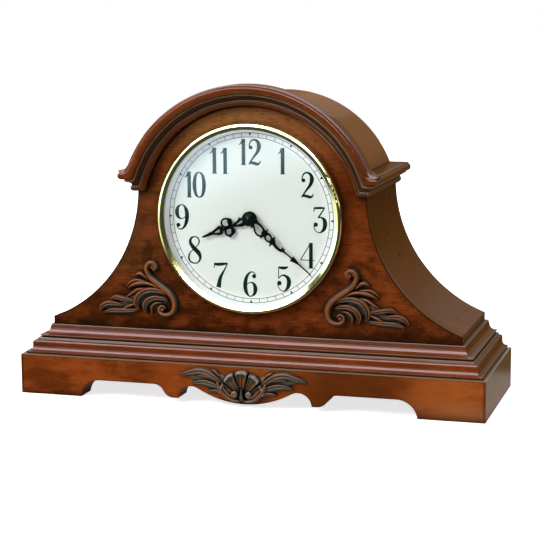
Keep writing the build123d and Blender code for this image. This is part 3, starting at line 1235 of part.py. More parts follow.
def movement_bridge():
    """Plate over the wheels, on four posts."""
    low = GEAR_ROOM_FLOOR
    high = MOVEMENT_CEILING - MOVEMENT_WALL
    plate = block(-BRIDGE_HALF_WIDTH, BRIDGE_HALF_WIDTH, BRIDGE_Y, BRIDGE_REAR_Y, low, high)
    bores = [(PIVOT_RADIUS + RUNNING_CLEARANCE, CENTRE), (PIVOT_RADIUS + RUNNING_CLEARANCE, DRIVE_PLACE)]
    bores.append((SETTING_SHAFT_RADIUS + RUNNING_CLEARANCE, SETTING_PLACE))
    bores += [(SCREW_RADIUS, place) for place in post_places()]
    return plate - [rod_y(radius, *place, BRIDGE_Y, BRIDGE_REAR_Y) for radius, place in bores]


def slide_place(rise):
    """Middle of a slide's slot on the rear cover."""
    return SLIDE_X, DIAL_HEIGHT + rise


def movement_cover():
    """Rear cover over the wheels, with the setting hole and two slide slots."""
    reach = MOVEMENT_HALF_WIDTH
    span = (MOVEMENT_REAR_Y, COVER_REAR_Y)
    cover = block(-reach, reach, *span, BAY_TOP, MOVEMENT_CEILING)
    cuts = [rod_y(SETTING_SHAFT_RADIUS + RUNNING_CLEARANCE, *SETTING_PLACE, *span)]
    cuts += [rod_y(SCREW_RADIUS, *place, *span) for place in boss_places()]
    half_length = SLIDE_TRAVEL + SLIDE_STEM_LENGTH / 2 + SLIDE_CLEARANCE
    half_height = SLIDE_STEM_HEIGHT / 2 + SLIDE_CLEARANCE
    for rise in (CHIME_SLIDE_RISE, VOLUME_SLIDE_RISE):
        x, z = slide_place(rise)
        cuts.append(block(x - half_length, x + half_length, *span, z - half_height, z + half_height))
    return cover - cuts


def slide(rise):
    """Slide button with its stem in the slot and a flange that keeps it in."""
    x, z = slide_place(rise)
    half_length = SLIDE_STEM_LENGTH / 2
    half_height = SLIDE_STEM_HEIGHT / 2
    flange_y = MOVEMENT_REAR_Y - SLIDE_CLEARANCE
    button_y = COVER_REAR_Y + SLIDE_CLEARANCE
    stem = block(x - half_length, x + half_length, flange_y, button_y, z - half_height, z + half_height)
    flange_x = half_length + SLIDE_FLANGE
    flange_z = half_height + SLIDE_FLANGE
    flange_span = (flange_y - SLIDE_FLANGE_THICKNESS, flange_y)
    flange = block(x - flange_x, x + flange_x, *flange_span, z - flange_z, z + flange_z)
    button_z = half_height + SLIDE_FLANGE / 2
    button_span = (button_y, button_y + SLIDE_BUTTON_HEIGHT)
    button = block(x - half_length, x + half_length, *button_span, z - button_z, z + button_z)
    return stem + flange + button


def movement_screws():
    """Screws of the bridge and of the rear cover."""
    screws = [back_screw(*place, BRIDGE_REAR_Y) for place in post_places()]
    screws += [back_screw(*place, COVER_REAR_Y) for place in boss_places()]
    return group(screws)


def mounting_nut():
    """Hexagon nut on the bushing, in front of the dial."""
    outline = Pos(*CENTRE) * (RegularPolygon(NUT_WIDTH / 2, 6, major_radius=False) - Circle(BUSHING_RADIUS))
    return slab(outline, NUT_FRONT_Y, DIAL_FRONT_Y)


def motor_unit():
    """Sealed stepping motor with its reduction, on the rear of the bridge."""
    x, z = DRIVE_PLACE
    rear = BRIDGE_REAR_Y + MOTOR_DEPTH
    half_width = MOTOR_WIDTH / 2
    half_height = MOTOR_HEIGHT / 2
    body = block(x - half_width, x + half_width, BRIDGE_REAR_Y, rear, z - half_height, z + half_height)
    bore_end = BRIDGE_REAR_Y + MOTOR_BORE_DEPTH + GEAR_SPACE
    return body - rod_y(PIVOT_RADIUS + RUNNING_CLEARANCE, x, z, BRIDGE_REAR_Y, bore_end)


def circuit_board():
    """Chime board on two spacers behind the bridge, with its chip."""
    x1 = BRIDGE_HALF_WIDTH
    x0 = x1 - CIRCUIT_WIDTH
    z0 = GEAR_ROOM_FLOOR + 2 * POST_RADIUS + SCREW_HEAD_RADIUS
    z1 = z0 + CIRCUIT_HEIGHT
    front = BRIDGE_REAR_Y + CIRCUIT_STANDOFF
    rear = front + CIRCUIT_THICKNESS
    board = block(x0, x1, front, rear, z0, z1)
    for z in (z0 + POST_RADIUS, z1 - POST_RADIUS):
        board += rod_y(POST_RADIUS, x1 - POST_RADIUS, z, BRIDGE_REAR_Y, front)
    middle_x = (x0 + x1) / 2
    middle_z = (z0 + z1) / 2
    half = CHIP_SIDE / 2
    chip_span = (rear, rear + CHIP_HEIGHT)
    return board + block(middle_x - half, middle_x + half, *chip_span, middle_z - half, middle_z + half)


def cell_places():
    """Y and Z of the two cells, and which way each one points."""
    y = MOVEMENT_Y + MOVEMENT_WALL + CELL_RADIUS + CELL_CLEARANCE
    low = MOVEMENT_FLOOR + MOVEMENT_WALL + CELL_PITCH / 2
    return [(y, low, 1), (y, low + CELL_PITCH, -1)]


def battery_cells():
    """Two round cells, laid head to tail."""
    cells = []
    for y, z, way in cell_places():
        body = Pos(0, y, z) * Rot(0, 90, 0) * Cylinder(CELL_RADIUS, CELL_LENGTH)
        nub_x = way * (CELL_LENGTH + CELL_NUB_LENGTH) / 2
        cells.append(body + Pos(nub_x, y, z) * Rot(0, 90, 0) * Cylinder(CELL_NUB_RADIUS, CELL_NUB_LENGTH))
    return group(cells)


def battery_contacts():
    """Contact plates on the ends of the bay, each with a raised boss that meets a cell."""
    contacts = []
    half = CONTACT_SIDE / 2
    for y, z, way in cell_places():
        for side in (-1, 1):
            plate_x = sorted((side * BAY_HALF_WIDTH, side * (BAY_HALF_WIDTH - CONTACT_THICKNESS)))
            plate = block(*plate_x, y - half, y + half, z - half, z + half)
            nub = CELL_NUB_LENGTH if side == way else 0.0
            tip = CELL_LENGTH / 2 + nub
            length = BAY_HALF_WIDTH - CONTACT_THICKNESS - tip
            boss = Rot(0, 90, 0) * Cylinder(CONTACT_BOSS_RADIUS, length)
            contacts.append(plate + Pos(side * (tip + length / 2), y, z) * boss)
    return group(contacts)


# Loudspeaker

def speaker_turned(points):
    """Solid turned about the loudspeaker's upright axis, from (radius, height) points over the base."""
    profile = Plane.XZ * make_face(Polyline(*points, close=True))
    return Pos(SPEAKER_X, SPEAKER_Y, BASE_TOP) * revolve(profile, Axis.Z)


def speaker_frame():
    """Pressed basket with a flange on the base board."""
    wall = SPEAKER_WALL
    top = SPEAKER_HEIGHT
    mouth = SPEAKER_MOUTH_RADIUS
    neck = SPEAKER_NECK_RADIUS
    flange = SPEAKER_FLANGE
    points = [
        (mouth, 0), (SPEAKER_RADIUS, 0), (SPEAKER_RADIUS, flange), (mouth + 2 * wall, flange),
        (neck, top - wall), (neck, top), (0, top), (0, top - wall),
        (neck - wall, top - wall), (mouth, 2 * flange)
    ]
    seat = BASE_TOP + flange
    holes = [rod_z(SCREW_RADIUS, x, y, BASE_TOP, seat) for x, y in speaker_screw_places()]
    return speaker_turned(points) - holes


def speaker_screw_places():
    """Four screws in the loudspeaker's flange."""
    radius = SPEAKER_RADIUS - SCREW_HEAD_RADIUS - SCREW_HEAD_HEIGHT / 2
    return [(SPEAKER_X + sx * radius / math.sqrt(2), SPEAKER_Y + sy * radius / math.sqrt(2))
            for sx in (-1, 1) for sy in (-1, 1)]


def speaker_cone():
    """Paper cone with a flat rim held in the basket's mouth."""
    rim = SPEAKER_MOUTH_RADIUS
    t = CONE_THICKNESS
    back = CONE_DEPTH + t
    points = [
        (rim, t), (rim, 2 * t), (rim - 2 * t, 2 * t), (CONE_NECK_RADIUS, back), (0, back),
        (0, CONE_DEPTH), (CONE_NECK_RADIUS, CONE_DEPTH), (rim - 2 * t, t)
    ]
    return speaker_turned(points)


def speaker_magnet():
    """Ring magnet on the basket."""
    seat = BASE_TOP + SPEAKER_HEIGHT
    return rod_z(MAGNET_RADIUS, SPEAKER_X, SPEAKER_Y, seat, seat + MAGNET_HEIGHT)


# Screws of the fixed case and of the door

def bezel_screws():
    """Long screws through the front board into the foot of the bezel."""
    length = BOARD_THICKNESS + BEZEL_SCREW_DEPTH
    return group([back_screw(x, z, BOARD_BACK_Y, length) for x, z in bezel_screw_places()])


def frame_screws():
    """Screws of the hinges' fixed leaves and of the loudspeaker."""
    seat = BASE_TOP + SPEAKER_FLANGE
    speaker = [Pos(x, y, seat) * screw(SCREW_LENGTH) for x, y in speaker_screw_places()]
    return group(hinge_screws(-1) + speaker)


def build_pieces():
    """Every piece of the clock by its name."""
    lower = moulding_strips(lower_profile(), PLINTH_HEIGHT, LOWER_INSET + LOWER_STRIP_WIDTH)
    upper = moulding_strips(upper_profile(), LOWER_TOP, UPPER_INSET + UPPER_STRIP_WIDTH)
    side_apron = right_apron()
    side_panel = right_side_panel()
    arch = arch_moulding()
    cornice = right_cornice(arch)
    scroll = right_scroll()
    return {
        "apron_front": front_apron(),
        "apron_left": mirrored(side_apron),
        "apron_right": side_apron,
        "apron_rear": rear_apron(),
        "glue_blocks": glue_blocks(),
        "lower_moulding_front": lower[0],
        "lower_moulding_left": lower[1],
        "lower_moulding_right": lower[2],
        "upper_moulding_front": upper[0],
        "upper_moulding_left": upper[1],
        "upper_moulding_right": upper[2],
        "rear_base_rail": rear_base_rail(),
        "base_board": base_board(),
        "front_board": front_board(),
        "side_panel_left": mirrored(side_panel),
        "side_panel_right": side_panel,
        "arch_top": arch_top(),
        "arch_moulding": arch,
        "cornice_left": mirrored(cornice),
        "cornice_right": cornice,
        "back_frame": back_frame(),
        "scroll_carving_left": mirrored(scroll),
        "scroll_carving_right": scroll,
        "shell_carving": shell_carving(),
        "bezel": bezel(),
        "crystal": crystal(),
        "crystal_retainer": crystal_retainer(),
        "dial": dial(),
        "bezel_screws": bezel_screws(),
        "hour_hand": placed_hand(hour_hand_outline(), HOUR_HAND_TURN, HOUR_HAND_Y, HOUR_TUBE_RADIUS),
        "minute_hand": placed_hand(minute_hand_outline(), MINUTE_HAND_TURN, MINUTE_HAND_Y, ARBOR_RADIUS),
        "hand_nut": hand_nut(),
        "mounting_nut": mounting_nut(),
        "movement_base": movement_base(),
        "movement_bridge": movement_bridge(),
        "movement_cover": movement_cover(),
        "movement_screws": movement_screws(),
        "minute_arbor": minute_arbor(),
        "minute_wheel": minute_wheel(),
        "hour_wheel": hour_wheel(),
        "drive_pinion": drive_pinion(),
        "set_knob": set_knob(),
        "chime_selector": slide(CHIME_SLIDE_RISE),
        "volume_slider": slide(VOLUME_SLIDE_RISE),
        "motor_unit": motor_unit(),
        "circuit_board": circuit_board(),
        "battery_cells": battery_cells(),
        "battery_contacts": battery_contacts(),
        "speaker_frame": speaker_frame(),
        "speaker_cone": speaker_cone(),
        "speaker_magnet": speaker_magnet(),
        "back_door": back_door(),
        "hinge_leaves_frame": hinge_leaves(-1, (0, 2), HINGE_PIN_RADIUS),
        "hinge_leaves_door": hinge_leaves(1, (1,), HINGE_PIN_RADIUS + PIN_CLEARANCE),
        "hinge_pins": hinge_pins(),
        "door_knob": door_knob(),
        "magnet_catch": magnet_catch(),
        "strike_plate": strike_plate(),
        "frame_screws": frame_screws(),
        "door_screws": group(hinge_screws(1)),
    }


os.makedirs("parts", exist_ok=True)
for piece_name, piece in build_pieces().items():
    export_step(piece, f"parts/{piece_name}.step")
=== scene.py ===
import math

import bpy
import numpy as np
from mathutils import Matrix, Vector


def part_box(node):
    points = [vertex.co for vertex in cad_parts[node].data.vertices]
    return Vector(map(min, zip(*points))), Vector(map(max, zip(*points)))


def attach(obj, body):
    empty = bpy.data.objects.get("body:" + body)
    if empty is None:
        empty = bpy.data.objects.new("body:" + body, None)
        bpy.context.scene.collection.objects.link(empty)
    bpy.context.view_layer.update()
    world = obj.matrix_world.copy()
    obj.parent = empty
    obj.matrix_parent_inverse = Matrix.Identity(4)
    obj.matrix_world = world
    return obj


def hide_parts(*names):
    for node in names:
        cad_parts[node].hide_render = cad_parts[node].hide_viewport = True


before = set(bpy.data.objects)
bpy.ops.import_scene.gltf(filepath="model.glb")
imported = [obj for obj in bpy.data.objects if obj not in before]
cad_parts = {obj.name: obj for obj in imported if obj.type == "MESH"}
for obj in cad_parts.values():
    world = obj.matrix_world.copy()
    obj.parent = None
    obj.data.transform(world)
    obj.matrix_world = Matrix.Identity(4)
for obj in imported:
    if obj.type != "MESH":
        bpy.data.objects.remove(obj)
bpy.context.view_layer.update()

MM = 0.001


def box_corners(node):
    """Lowest and highest corner of a node, in millimetres."""
    return [1000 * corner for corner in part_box(node)]


# Places on the clock, in millimetres
APRON_FACE_Y = 1000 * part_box("apron_front")[0].y
APRON_TOP = 1000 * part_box("apron_front")[1].z
BOARD_FACE_Y = 1000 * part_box("front_board")[0].y
DIAL_FACE_Y = 1000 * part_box("dial")[0].y
DIAL_CENTRE_Z = 500 * (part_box("dial")[0].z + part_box("dial")[1].z)
CORNICE_LOW, CORNICE_HIGH = box_corners("cornice_right")
MOULDING_HEIGHT = CORNICE_HIGH.z - CORNICE_LOW.z
MOULDING_DEPTH = BOARD_FACE_Y - CORNICE_LOW.y
ARCH_INNER = 1000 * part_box("arch_moulding")[1].z - DIAL_CENTRE_Z - MOULDING_HEIGHT
ARCH_RISE = CORNICE_LOW.z - DIAL_CENTRE_Z
BARREL_RADIUS = 1000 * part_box("arch_top")[1].z - DIAL_CENTRE_Z
GLASS_BACK_Y = 1000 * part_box("crystal")[1].y
GLASS_EDGE = 1000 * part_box("crystal")[1].x

# Corners of the arch and cornice moulding from its top to its foot: depth behind its front, height above its
# foot, how far from the corner the edge is eased, and how pale its finish is, for wear and a painted
# highlight along the edge (below nought it is side wood)
MOULDING_CORNERS = [
    (5.0, 19.0, 0.0, -1), (2.4, 19.0, 0.4, 0.4), (1.9, 17.9, 0.3, 0), (1.2, 17.2, 0.2, 0),
    (0.0, 16.2, 0.8, 0), (0.0, 12.4, 1.3, 0), (2.4, 10.9, 0.8, 0), (5.2, 10.8, 0.1, 0),
    (5.2, 10.4, 0.1, 0), (4.3, 10.2, 0.5, 0.9), (4.3, 8.9, 0.5, 0.5), (6.2, 8.6, 0.1, 0),
    (6.3, 7.9, 0.1, 0), (9.9, 7.8, 2.6, 0), (9.9, 4.9, 0.1, 0), (8.9, 4.6, 0.4, 0.7),
    (8.9, 3.7, 0.3, 0.4), (9.9, 3.5, 0.1, 0), (8.8, 3.2, 0.4, 0.3), (9.1, 1.6, 0.8, 0),
    (10.4, 0.0, 0.2, 0),
]
MOULDING_TURN = 8.0

# The same for the two base mouldings
BASE_CORNERS = {
    "lower_moulding": [
        (14.0, 14.1, 0, 0), (10.4, 14.1, 0.1, 0), (9.0, 14.1, 0.35, 0.8), (8.8, 12.4, 0.15, 0.6),
        (8.4, 12.2, 0.1, 0), (5.2, 12.1, 2.5, 0), (5.3, 2.2, 5.1, 0), (0.0, 2.2, 0.1, 0.35),
        (0.0, 0.9, 0.2, 0), (1.2, 0.8, 0.05, 0), (1.2, 0.0, 0, 0)],
    "upper_moulding": [
        (14.0, 11.7, 0, 0.5), (8.0, 11.7, 0.3, 0.9), (8.0, 10.7, 0.15, 0.6), (8.5, 10.5, 0.1, 0),
        (8.4, 9.9, 0.1, 0), (7.5, 9.7, 0.1, 0), (7.4, 2.6, 6.8, 0), (0.0, 2.6, 0.1, 0.7),
        (0.0, 1.5, 0.2, 0.3), (1.5, 1.4, 0.05, 0), (1.5, 0.0, 0, 0)],
}
BARREL_SINK = 4.0
BARREL_END_SINK = 0.8

# Depths of applied work, in millimetres
CARVING_SINK = 0.5
PRINT_RELIEF = 0.05
PRINT_SINK = 0.05
GLASS_THICKNESS = 2.0
GLASS_RIM = 1.5

# How finely surfaces are divided: lengths in millimetres, counts, and the angle that stays a crease
CARVING_STEP = 0.6
STROKE_STEP = 0.3
PRINT_STEP = 1.0
SPAN_POINTS = 24
EASE_POINTS = 13
SECTION_POINTS = 25
BALL_KNOTS = 24
CIRCLE_KNOTS = 180
BUTTON_ROWS = 13
BUTTON_SIDES = 28
GLASS_ROWS = 41
GLASS_SIDES = 180
FAN_ROWS = 56
FAN_COLUMNS = 201
ARCH_STATIONS = 161
TURN_STATIONS = 6
PIECE_CREASE = 50
MOULDING_CREASE = 40

# Minute track on the dial, in millimetres from its centre
TRACK_OUTER = 77.5
TRACK_INNER = 73.7
TRACK_LINE = 0.23
TICK_LINE = 0.21
FIVE_MARK_LENGTH = 2.7
FIVE_MARK_WIDTH = 1.3
FIVE_MARK_TIP = 0.15

# Each digit's pen strokes: across, up and half the pen's width, about the digit's middle
THIN = 0.34
PEN_WEIGHT = 1.12
DIGIT_STROKES = {
    "0": [("loop", [(0, 11.3, 0.5), (3.3, 8.6, 1.1), (4.6, 0, 1.6), (3.3, -8.6, 1.1), (0, -11.3, 0.5),
                    (-3.3, -8.6, 1.1), (-4.6, 0, 1.6), (-3.3, 8.6, 1.1)])],
    "1": [("line", [(0, 11.8, 1.5), (0, -11.6, 1.5)]),
          ("line", [(-4.3, 6.6, THIN), (-2.6, 7.6, 0.5), (-0.9, 10.2, 0.9), (-0.2, 11.7, 0.5)]),
          ("line", [(-2.4, -11.5, 0.3), (2.4, -11.5, 0.3)])],
    "2": [("line", [(-3.9, 3.4, THIN), (-4.5, 6.2, 0.45), (-2.9, 10, 0.6), (0.2, 11.3, 0.7),
                    (3.5, 9.4, 1.2), (4.6, 5.4, 1.7), (3.2, 0.6, 1.3), (-0.6, -4.6, 0.8),
                    (-4.9, -10.8, 0.5)]),
          ("line", [(-4.9, -10.9, 0.5), (-3.2, -9.4, 1.0), (0, -9.9, 1.2), (3.2, -10.6, 1.1),
                    (5.2, -9.4, 0.6), (5.8, -7.4, THIN)]),
          ("ball", [(-3.2, 4.3, 1.6)])],
    "3": [("line", [(-5.2, 10.7, 0.8), (0, 10.9, 0.9), (4.6, 11.1, 0.6)]),
          ("line", [(-5.0, 11.0, 0.45), (-5.3, 7.2, THIN)]),
          ("line", [(4.5, 11, 0.5), (1.6, 6.4, 0.55), (-1.4, 2.0, 0.6)]),
          ("line", [(-1.4, 2.0, THIN), (1.4, 2.4, 0.6), (4.3, 0.2, 1.4), (5.0, -4.0, 1.75),
                    (3.8, -8.4, 1.3), (0.4, -11.2, 0.5), (-3.3, -10.2, THIN), (-5.1, -6.6, 0.4),
                    (-4.8, -4.4, 0.5)]),
          ("ball", [(-3.6, -4.2, 1.8)])],
    "4": [("line", [(3.3, 11.8, 1.55), (3.3, -11.2, 1.55)]),
          ("line", [(3.0, 11.5, 0.4), (-6.4, -4.0, THIN)]),
          ("line", [(-6.4, -4.1, THIN), (6.8, -4.1, THIN)]),
          ("line", [(0.9, -11.2, 0.3), (5.8, -11.2, 0.3)])],
    "5": [("line", [(-4.9, 10.9, 0.7), (-2, 10.3, 1.15), (1.6, 10.5, 1.1), (4.3, 11.6, 0.4)]),
          ("line", [(-4.8, 11, 0.4), (-4.8, 0.4, THIN)]),
          ("line", [(-4.8, 0.4, THIN), (-2.6, 2.9, 0.5), (0.4, 3.6, 0.8), (4.0, 1.2, 1.5),
                    (4.9, -3.2, 1.8), (3.5, -8.0, 1.3), (0.2, -10.9, 0.5), (-3.4, -9.8, THIN),
                    (-5.4, -6.0, 0.4), (-5.2, -4.0, 0.5)]),
          ("ball", [(-4.1, -3.7, 1.9)])],
    "6": [("line", [(4.9, 7.0, 0.4), (4.4, 9.6, THIN), (2.4, 11.2, 0.45), (-0.6, 10.4, 0.7),
                    (-3.6, 6.2, 1.3), (-4.9, -0.6, 1.7), (-4.2, -6.6, 1.5), (-1.8, -10.6, 0.7),
                    (0.8, -11.2, 0.45), (3.8, -8.8, 1.2), (4.8, -4.4, 1.7), (3.6, -0.2, 1.2),
                    (0.8, 1.5, 0.5), (-2.4, 0.3, THIN), (-4.4, -3.0, 0.3)]),
          ("ball", [(3.6, 7.4, 1.7)])],
    "7": [("line", [(-6.3, 10.2, 0.9), (-3, 9.7, 1.3), (2, 10.2, 1.2), (6.3, 11, 0.5)]),
          ("line", [(-6.2, 11.2, 0.5), (-6.6, 6.2, THIN)]),
          ("line", [(6.2, 10.9, 0.45), (3.0, 4.6, 0.7), (-0.8, -2.6, 1.4), (-2.7, -11.6, 2.0)])],
    "8": [("loop", [(0.3, 12.4, 0.5), (-3.2, 10.8, 0.9), (-4.0, 6.8, 1.3), (-0.6, 1.9, 1.8),
                    (3.8, -2.4, 1.8), (5.4, -6.8, 1.1), (3.6, -10.9, 0.6), (0, -12.2, 0.5),
                    (-4.2, -10.6, 0.7), (-5.7, -6.6, 0.8), (-4.0, -2.2, 0.5), (0, 1.6, THIN),
                    (3.3, 5.0, 0.45), (4.5, 8.4, 0.6), (3.2, 11.4, 0.6)])],
}
DIGIT_STROKES["9"] = [(kind, [(-x, -z, w) for x, z, w in knots]) for kind, knots in DIGIT_STROKES["6"]]

# Which digits make each hour, and where each digit's middle lies from the dial's centre
HOUR_DIGITS = {
    1: [("1", 30.4, 52.6)], 2: [("2", 52.9, 31.6)], 3: [("3", 64.6, 0.6)], 4: [("4", 53.2, -32.0)],
    5: [("5", 31.0, -54.4)], 6: [("6", -0.6, -60.2)], 7: [("7", -28.4, -53.0)], 8: [("8", -53.8, -31.0)],
    9: [("9", -65.6, -0.8)], 10: [("1", -58.2, 29.2), ("0", -48.6, 29.2)],
    11: [("1", -33.8, 51.6), ("1", -23.6, 51.6)], 12: [("1", -6.2, 60.0), ("2", 3.8, 60.0)],
}

# Stamped hands as they stand at rest: across and up from the arbor, and half the width of each stroke
HAND_RELIEF = 0.4
HAND_WEIGHT = 1.03
HAND_SINK = 0.35
MINUTE_HAND_STROKES = [
    ("ball", [(0, 0, 6.6)]),
    ("line", [(3.6, -1.6, 1.8), (7.3, -3.1, 1.2), (10.6, -5.4, 0.95), (13.3, -8.7, 1.0),
              (14.6, -12.0, 1.8)]),
    ("line", [(2.6, -4.4, 1.6), (4.5, -7.5, 0.95), (5.4, -11.3, 0.8), (7.9, -14.3, 0.85),
              (11.2, -15.1, 1.1), (14, -13.6, 1.8)]),
    ("line", [(6.2, -3.4, 1.3), (8.2, -0.4, 0.3)]),
    ("line", [(3.6, -6.2, 1.3), (1.0, -8.4, 0.3)]),
    ("ball", [(14.3, -12.9, 3.0)]),
    ("line", [(14, -12.5, 1.7), (18.0, -8.8, 0.3)]),
    ("line", [(13.5, -13.5, 1.7), (10.2, -17.6, 0.3)]),
    ("line", [(15.4, -12, 1.2), (18.9, -13.6, 0.85), (21.0, -16.3, 0.85), (21.8, -19, 1.5)]),
    ("line", [(14.4, -14.5, 1.2), (15.4, -17.8, 0.8), (18.0, -20.1, 0.8), (21.2, -20, 1.4)]),
    ("ball", [(21.8, -20.0, 2.8)]),
    ("line", [(21.8, -19.5, 1.6), (24.2, -15.0, 0.3)]),
    ("line", [(21.3, -20.5, 1.6), (18.6, -24.4, 0.3)]),
    ("line", [(22.4, -20.8, 1.8), (24.6, -23.8, 1.4), (27.2, -26.4, 1.25), (30, -27.7, 1.3),
              (32, -27.8, 1.3)]),
    ("line", [(30.8, -27.2, 1.2), (31.7, -24.2, 0.3)]),
    ("line", [(31.2, -27.6, 1.2), (34.0, -26.0, 0.3)]),
    ("line", [(31.4, -27.8, 1.1), (35.5, -31.0, 0.6), (40, -34.7, 0.65)]),
    ("line", [(39.4, -34.2, 2.4), (41.4, -35.8, 2.1), (43.8, -37.6, 1.3), (46.4, -39.7, 0.5)]),
    ("line", [(41.0, -34.4, 1.0), (41.8, -32.2, 0.3)]),
    ("line", [(40.2, -36.2, 1.0), (37.8, -36.9, 0.3)]),
    ("line", [(45, -38.5, 0.6), (51, -43.5, 0.55), (57.6, -49.0, 0.45)]),
]
HOUR_HAND_STROKES = [
    ("ball", [(0, 0, 6.6)]),
    ("line", [(-4.5, 0.4, 1.3), (-8, -0.4, 1.0), (-10.2, -1.8, 1.2), (-13, -4.5, 1.0),
              (-16.5, -6.9, 1.3)]),
    ("line", [(-9.8, -1.4, 1.0), (-10.6, 1.3, 0.3)]),
    ("line", [(-4.5, -4.4, 1.4), (-7.6, -5.9, 1.6), (-11, -6.5, 1.0), (-14, -6.9, 0.95),
              (-17, -7.1, 1.3)]),
    ("ball", [(-17.4, -7.0, 1.6)]),
    ("loop", [(-18.4, -4.1, 1.7), (-19.7, -1.7, 1.3), (-22.8, -0.7, 0.85), (-25.8, -1.8, 0.8),
              (-27.1, -4.7, 0.8), (-25.8, -7.5, 0.85), (-22.8, -8.5, 0.95), (-19.8, -7.2, 1.3)]),
    ("ball", [(-19.4, -3.7, 2.0)]),
    ("ball", [(-18.4, -1.4, 1.1)]),
    ("loop", [(-15.5, -11.6, 1.7), (-16.9, -9.4, 1.3), (-19.5, -8.9, 0.95), (-22.2, -10.2, 0.8),
              (-23.2, -12.8, 0.75), (-22.3, -15.2, 0.8), (-19.6, -16.2, 1.0), (-17, -14.7, 1.4)]),
    ("ball", [(-16.0, -11.6, 1.8)]),
    ("line", [(-15.6, -10.8, 1.0), (-13.4, -10.4, 0.4)]),
    ("line", [(-18.4, -15.6, 1.3), (-18.6, -18.2, 0.35)]),
    ("line", [(-17, -7.2, 1.3), (-20, -8.7, 1.3), (-24, -10.3, 1.2), (-27, -11.6, 1.3)]),
    ("line", [(-25.4, -9.4, 1.0), (-28.4, -8.7, 1.2), (-30.6, -9.9, 1.3), (-33.6, -12.4, 1.1),
              (-37, -14.6, 1.2)]),
    ("line", [(-28.8, -9.0, 1.0), (-29.8, -7.0, 0.35)]),
    ("line", [(-28.6, -9.0, 1.1), (-27.2, -11.6, 1.4), (-27, -13.8, 1.6)]),
    ("line", [(-25.4, -13.0, 1.2), (-28.4, -14.5, 1.3), (-32, -14.9, 0.95), (-35, -15.0, 1.0),
              (-38, -15.3, 1.2)]),
    ("line", [(-36, -14.4, 1.8), (-40, -16.3, 1.3), (-43, -17.5, 1.0), (-45.6, -18.6, 0.75)]),
]

# Carved strips: section, then across, up, half width and relief at places along the strip
SCROLL_STRIPS = [
    ("ground", [(80, 92, 3, 1.0), (92, 90, 8, 1.6), (103, 92, 8, 1.8), (113, 89, 6, 1.8),
                (126, 84, 4, 1.6), (142, 81, 2, 1.2)]),
    ("rib", [(95.8, 120.6, 1.1, 3.2), (96.6, 122.6, 1.3, 3.6), (94.8, 124.4, 1.5, 4.0),
             (92.2, 123.6, 1.7, 4.4), (91.6, 120.8, 1.8, 4.8), (94.0, 118.6, 1.9, 4.8)]),
    ("rib", [(90.6, 120.0, 1.3, 4.0), (90.0, 123.2, 1.9, 4.8), (92.6, 126.2, 2.2, 5.4),
             (96.8, 125.9, 2.5, 5.6), (99.4, 122.4, 2.7, 5.6), (99.0, 117.4, 2.9, 5.4),
             (95.6, 112.0, 3.1, 5.2), (89.8, 107.4, 3.3, 5.2), (82.6, 102.4, 3.3, 5.2),
             (76.6, 97.4, 3.3, 5.2), (73.3, 91.6, 3.2, 5.2), (72.8, 86.2, 3.0, 5.2),
             (74.4, 81.2, 2.8, 5.2), (78.6, 78.2, 2.6, 5.2), (83.4, 77.8, 2.4, 5.0),
             (87.2, 80.0, 2.2, 4.8), (88.0, 83.6, 2.0, 4.6), (85.4, 86.0, 1.7, 4.4),
             (82.6, 84.8, 1.4, 4.2), (82.4, 82.4, 1.2, 4.0)]),
    ("blade", [(98.5, 109.5, 1.2, 3.6), (103.6, 114.0, 2.7, 4.6), (107.6, 114.8, 2.7, 4.2),
               (111.2, 113.0, 1.4, 3.0)]),
    ("blade", [(101, 108.2, 1.4, 2.6), (111, 108.4, 2.4, 3.4), (116.5, 106.0, 2.0, 3.0),
               (120.6, 102.6, 0.7, 2.0)]),
    ("blade", [(88, 101.6, 1.2, 3.4), (95, 105.0, 2.6, 4.6), (103, 106.2, 3.0, 5.0),
               (112, 104.6, 2.8, 4.6), (119, 101.0, 1.0, 3.0)]),
    ("blade", [(102, 101.4, 1.6, 3.4), (109, 99.4, 2.8, 4.2), (115, 95.6, 2.4, 3.8),
               (120.5, 92.4, 1.0, 2.6)]),
    ("leaf", [(78.5, 95.6, 1.0, 3.0), (84, 98.6, 2.4, 4.2), (93, 100.2, 3.4, 5.0), (102, 98.6, 3.8, 5.4),
              (108.4, 93.4, 3.8, 5.4), (110.2, 86.6, 3.0, 4.8), (107.6, 80.4, 1.4, 3.4)]),
    ("leaf", [(79, 90.4, 1.0, 2.8), (85, 92.8, 2.4, 4.2), (92.5, 93.0, 3.2, 5.0), (99, 90.0, 3.5, 5.2),
              (102.2, 84.4, 3.0, 4.8), (100.4, 77.8, 1.3, 3.2)]),
    ("blade", [(85, 88.4, 0.9, 2.6), (91, 87.8, 2.2, 4.0), (95.2, 84.0, 2.2, 4.0),
               (95.0, 77.6, 1.0, 2.8)]),
    ("leaf", [(109.5, 88.6, 1.4, 3.4), (116, 89.6, 2.2, 4.2), (124, 91.0, 2.7, 4.8),
              (131.5, 91.8, 2.5, 4.4), (138.4, 88.2, 0.8, 2.2)]),
    ("blade", [(111, 86.8, 1.4, 3.2), (117, 84.2, 2.5, 4.2), (122, 81.8, 2.0, 3.6),
               (126, 79.6, 0.9, 2.4)]),
    ("leaf", [(123, 84.2, 1.2, 3.0), (130, 85.8, 2.4, 4.2), (138, 86.0, 3.0, 4.8), (144, 83.4, 2.8, 4.6),
              (147.4, 78.6, 1.2, 3.2)]),
    ("leaf", [(109, 81.4, 1.2, 2.6), (116, 80.0, 2.2, 3.6), (126, 79.6, 2.7, 4.0), (136, 79.2, 2.5, 3.8),
              (144.5, 76.8, 1.0, 2.6)]),
]
SCROLL_EYES = [(94.0, 121.6, 2.1, 5.0), (84.8, 82.4, 2.3, 5.2)]

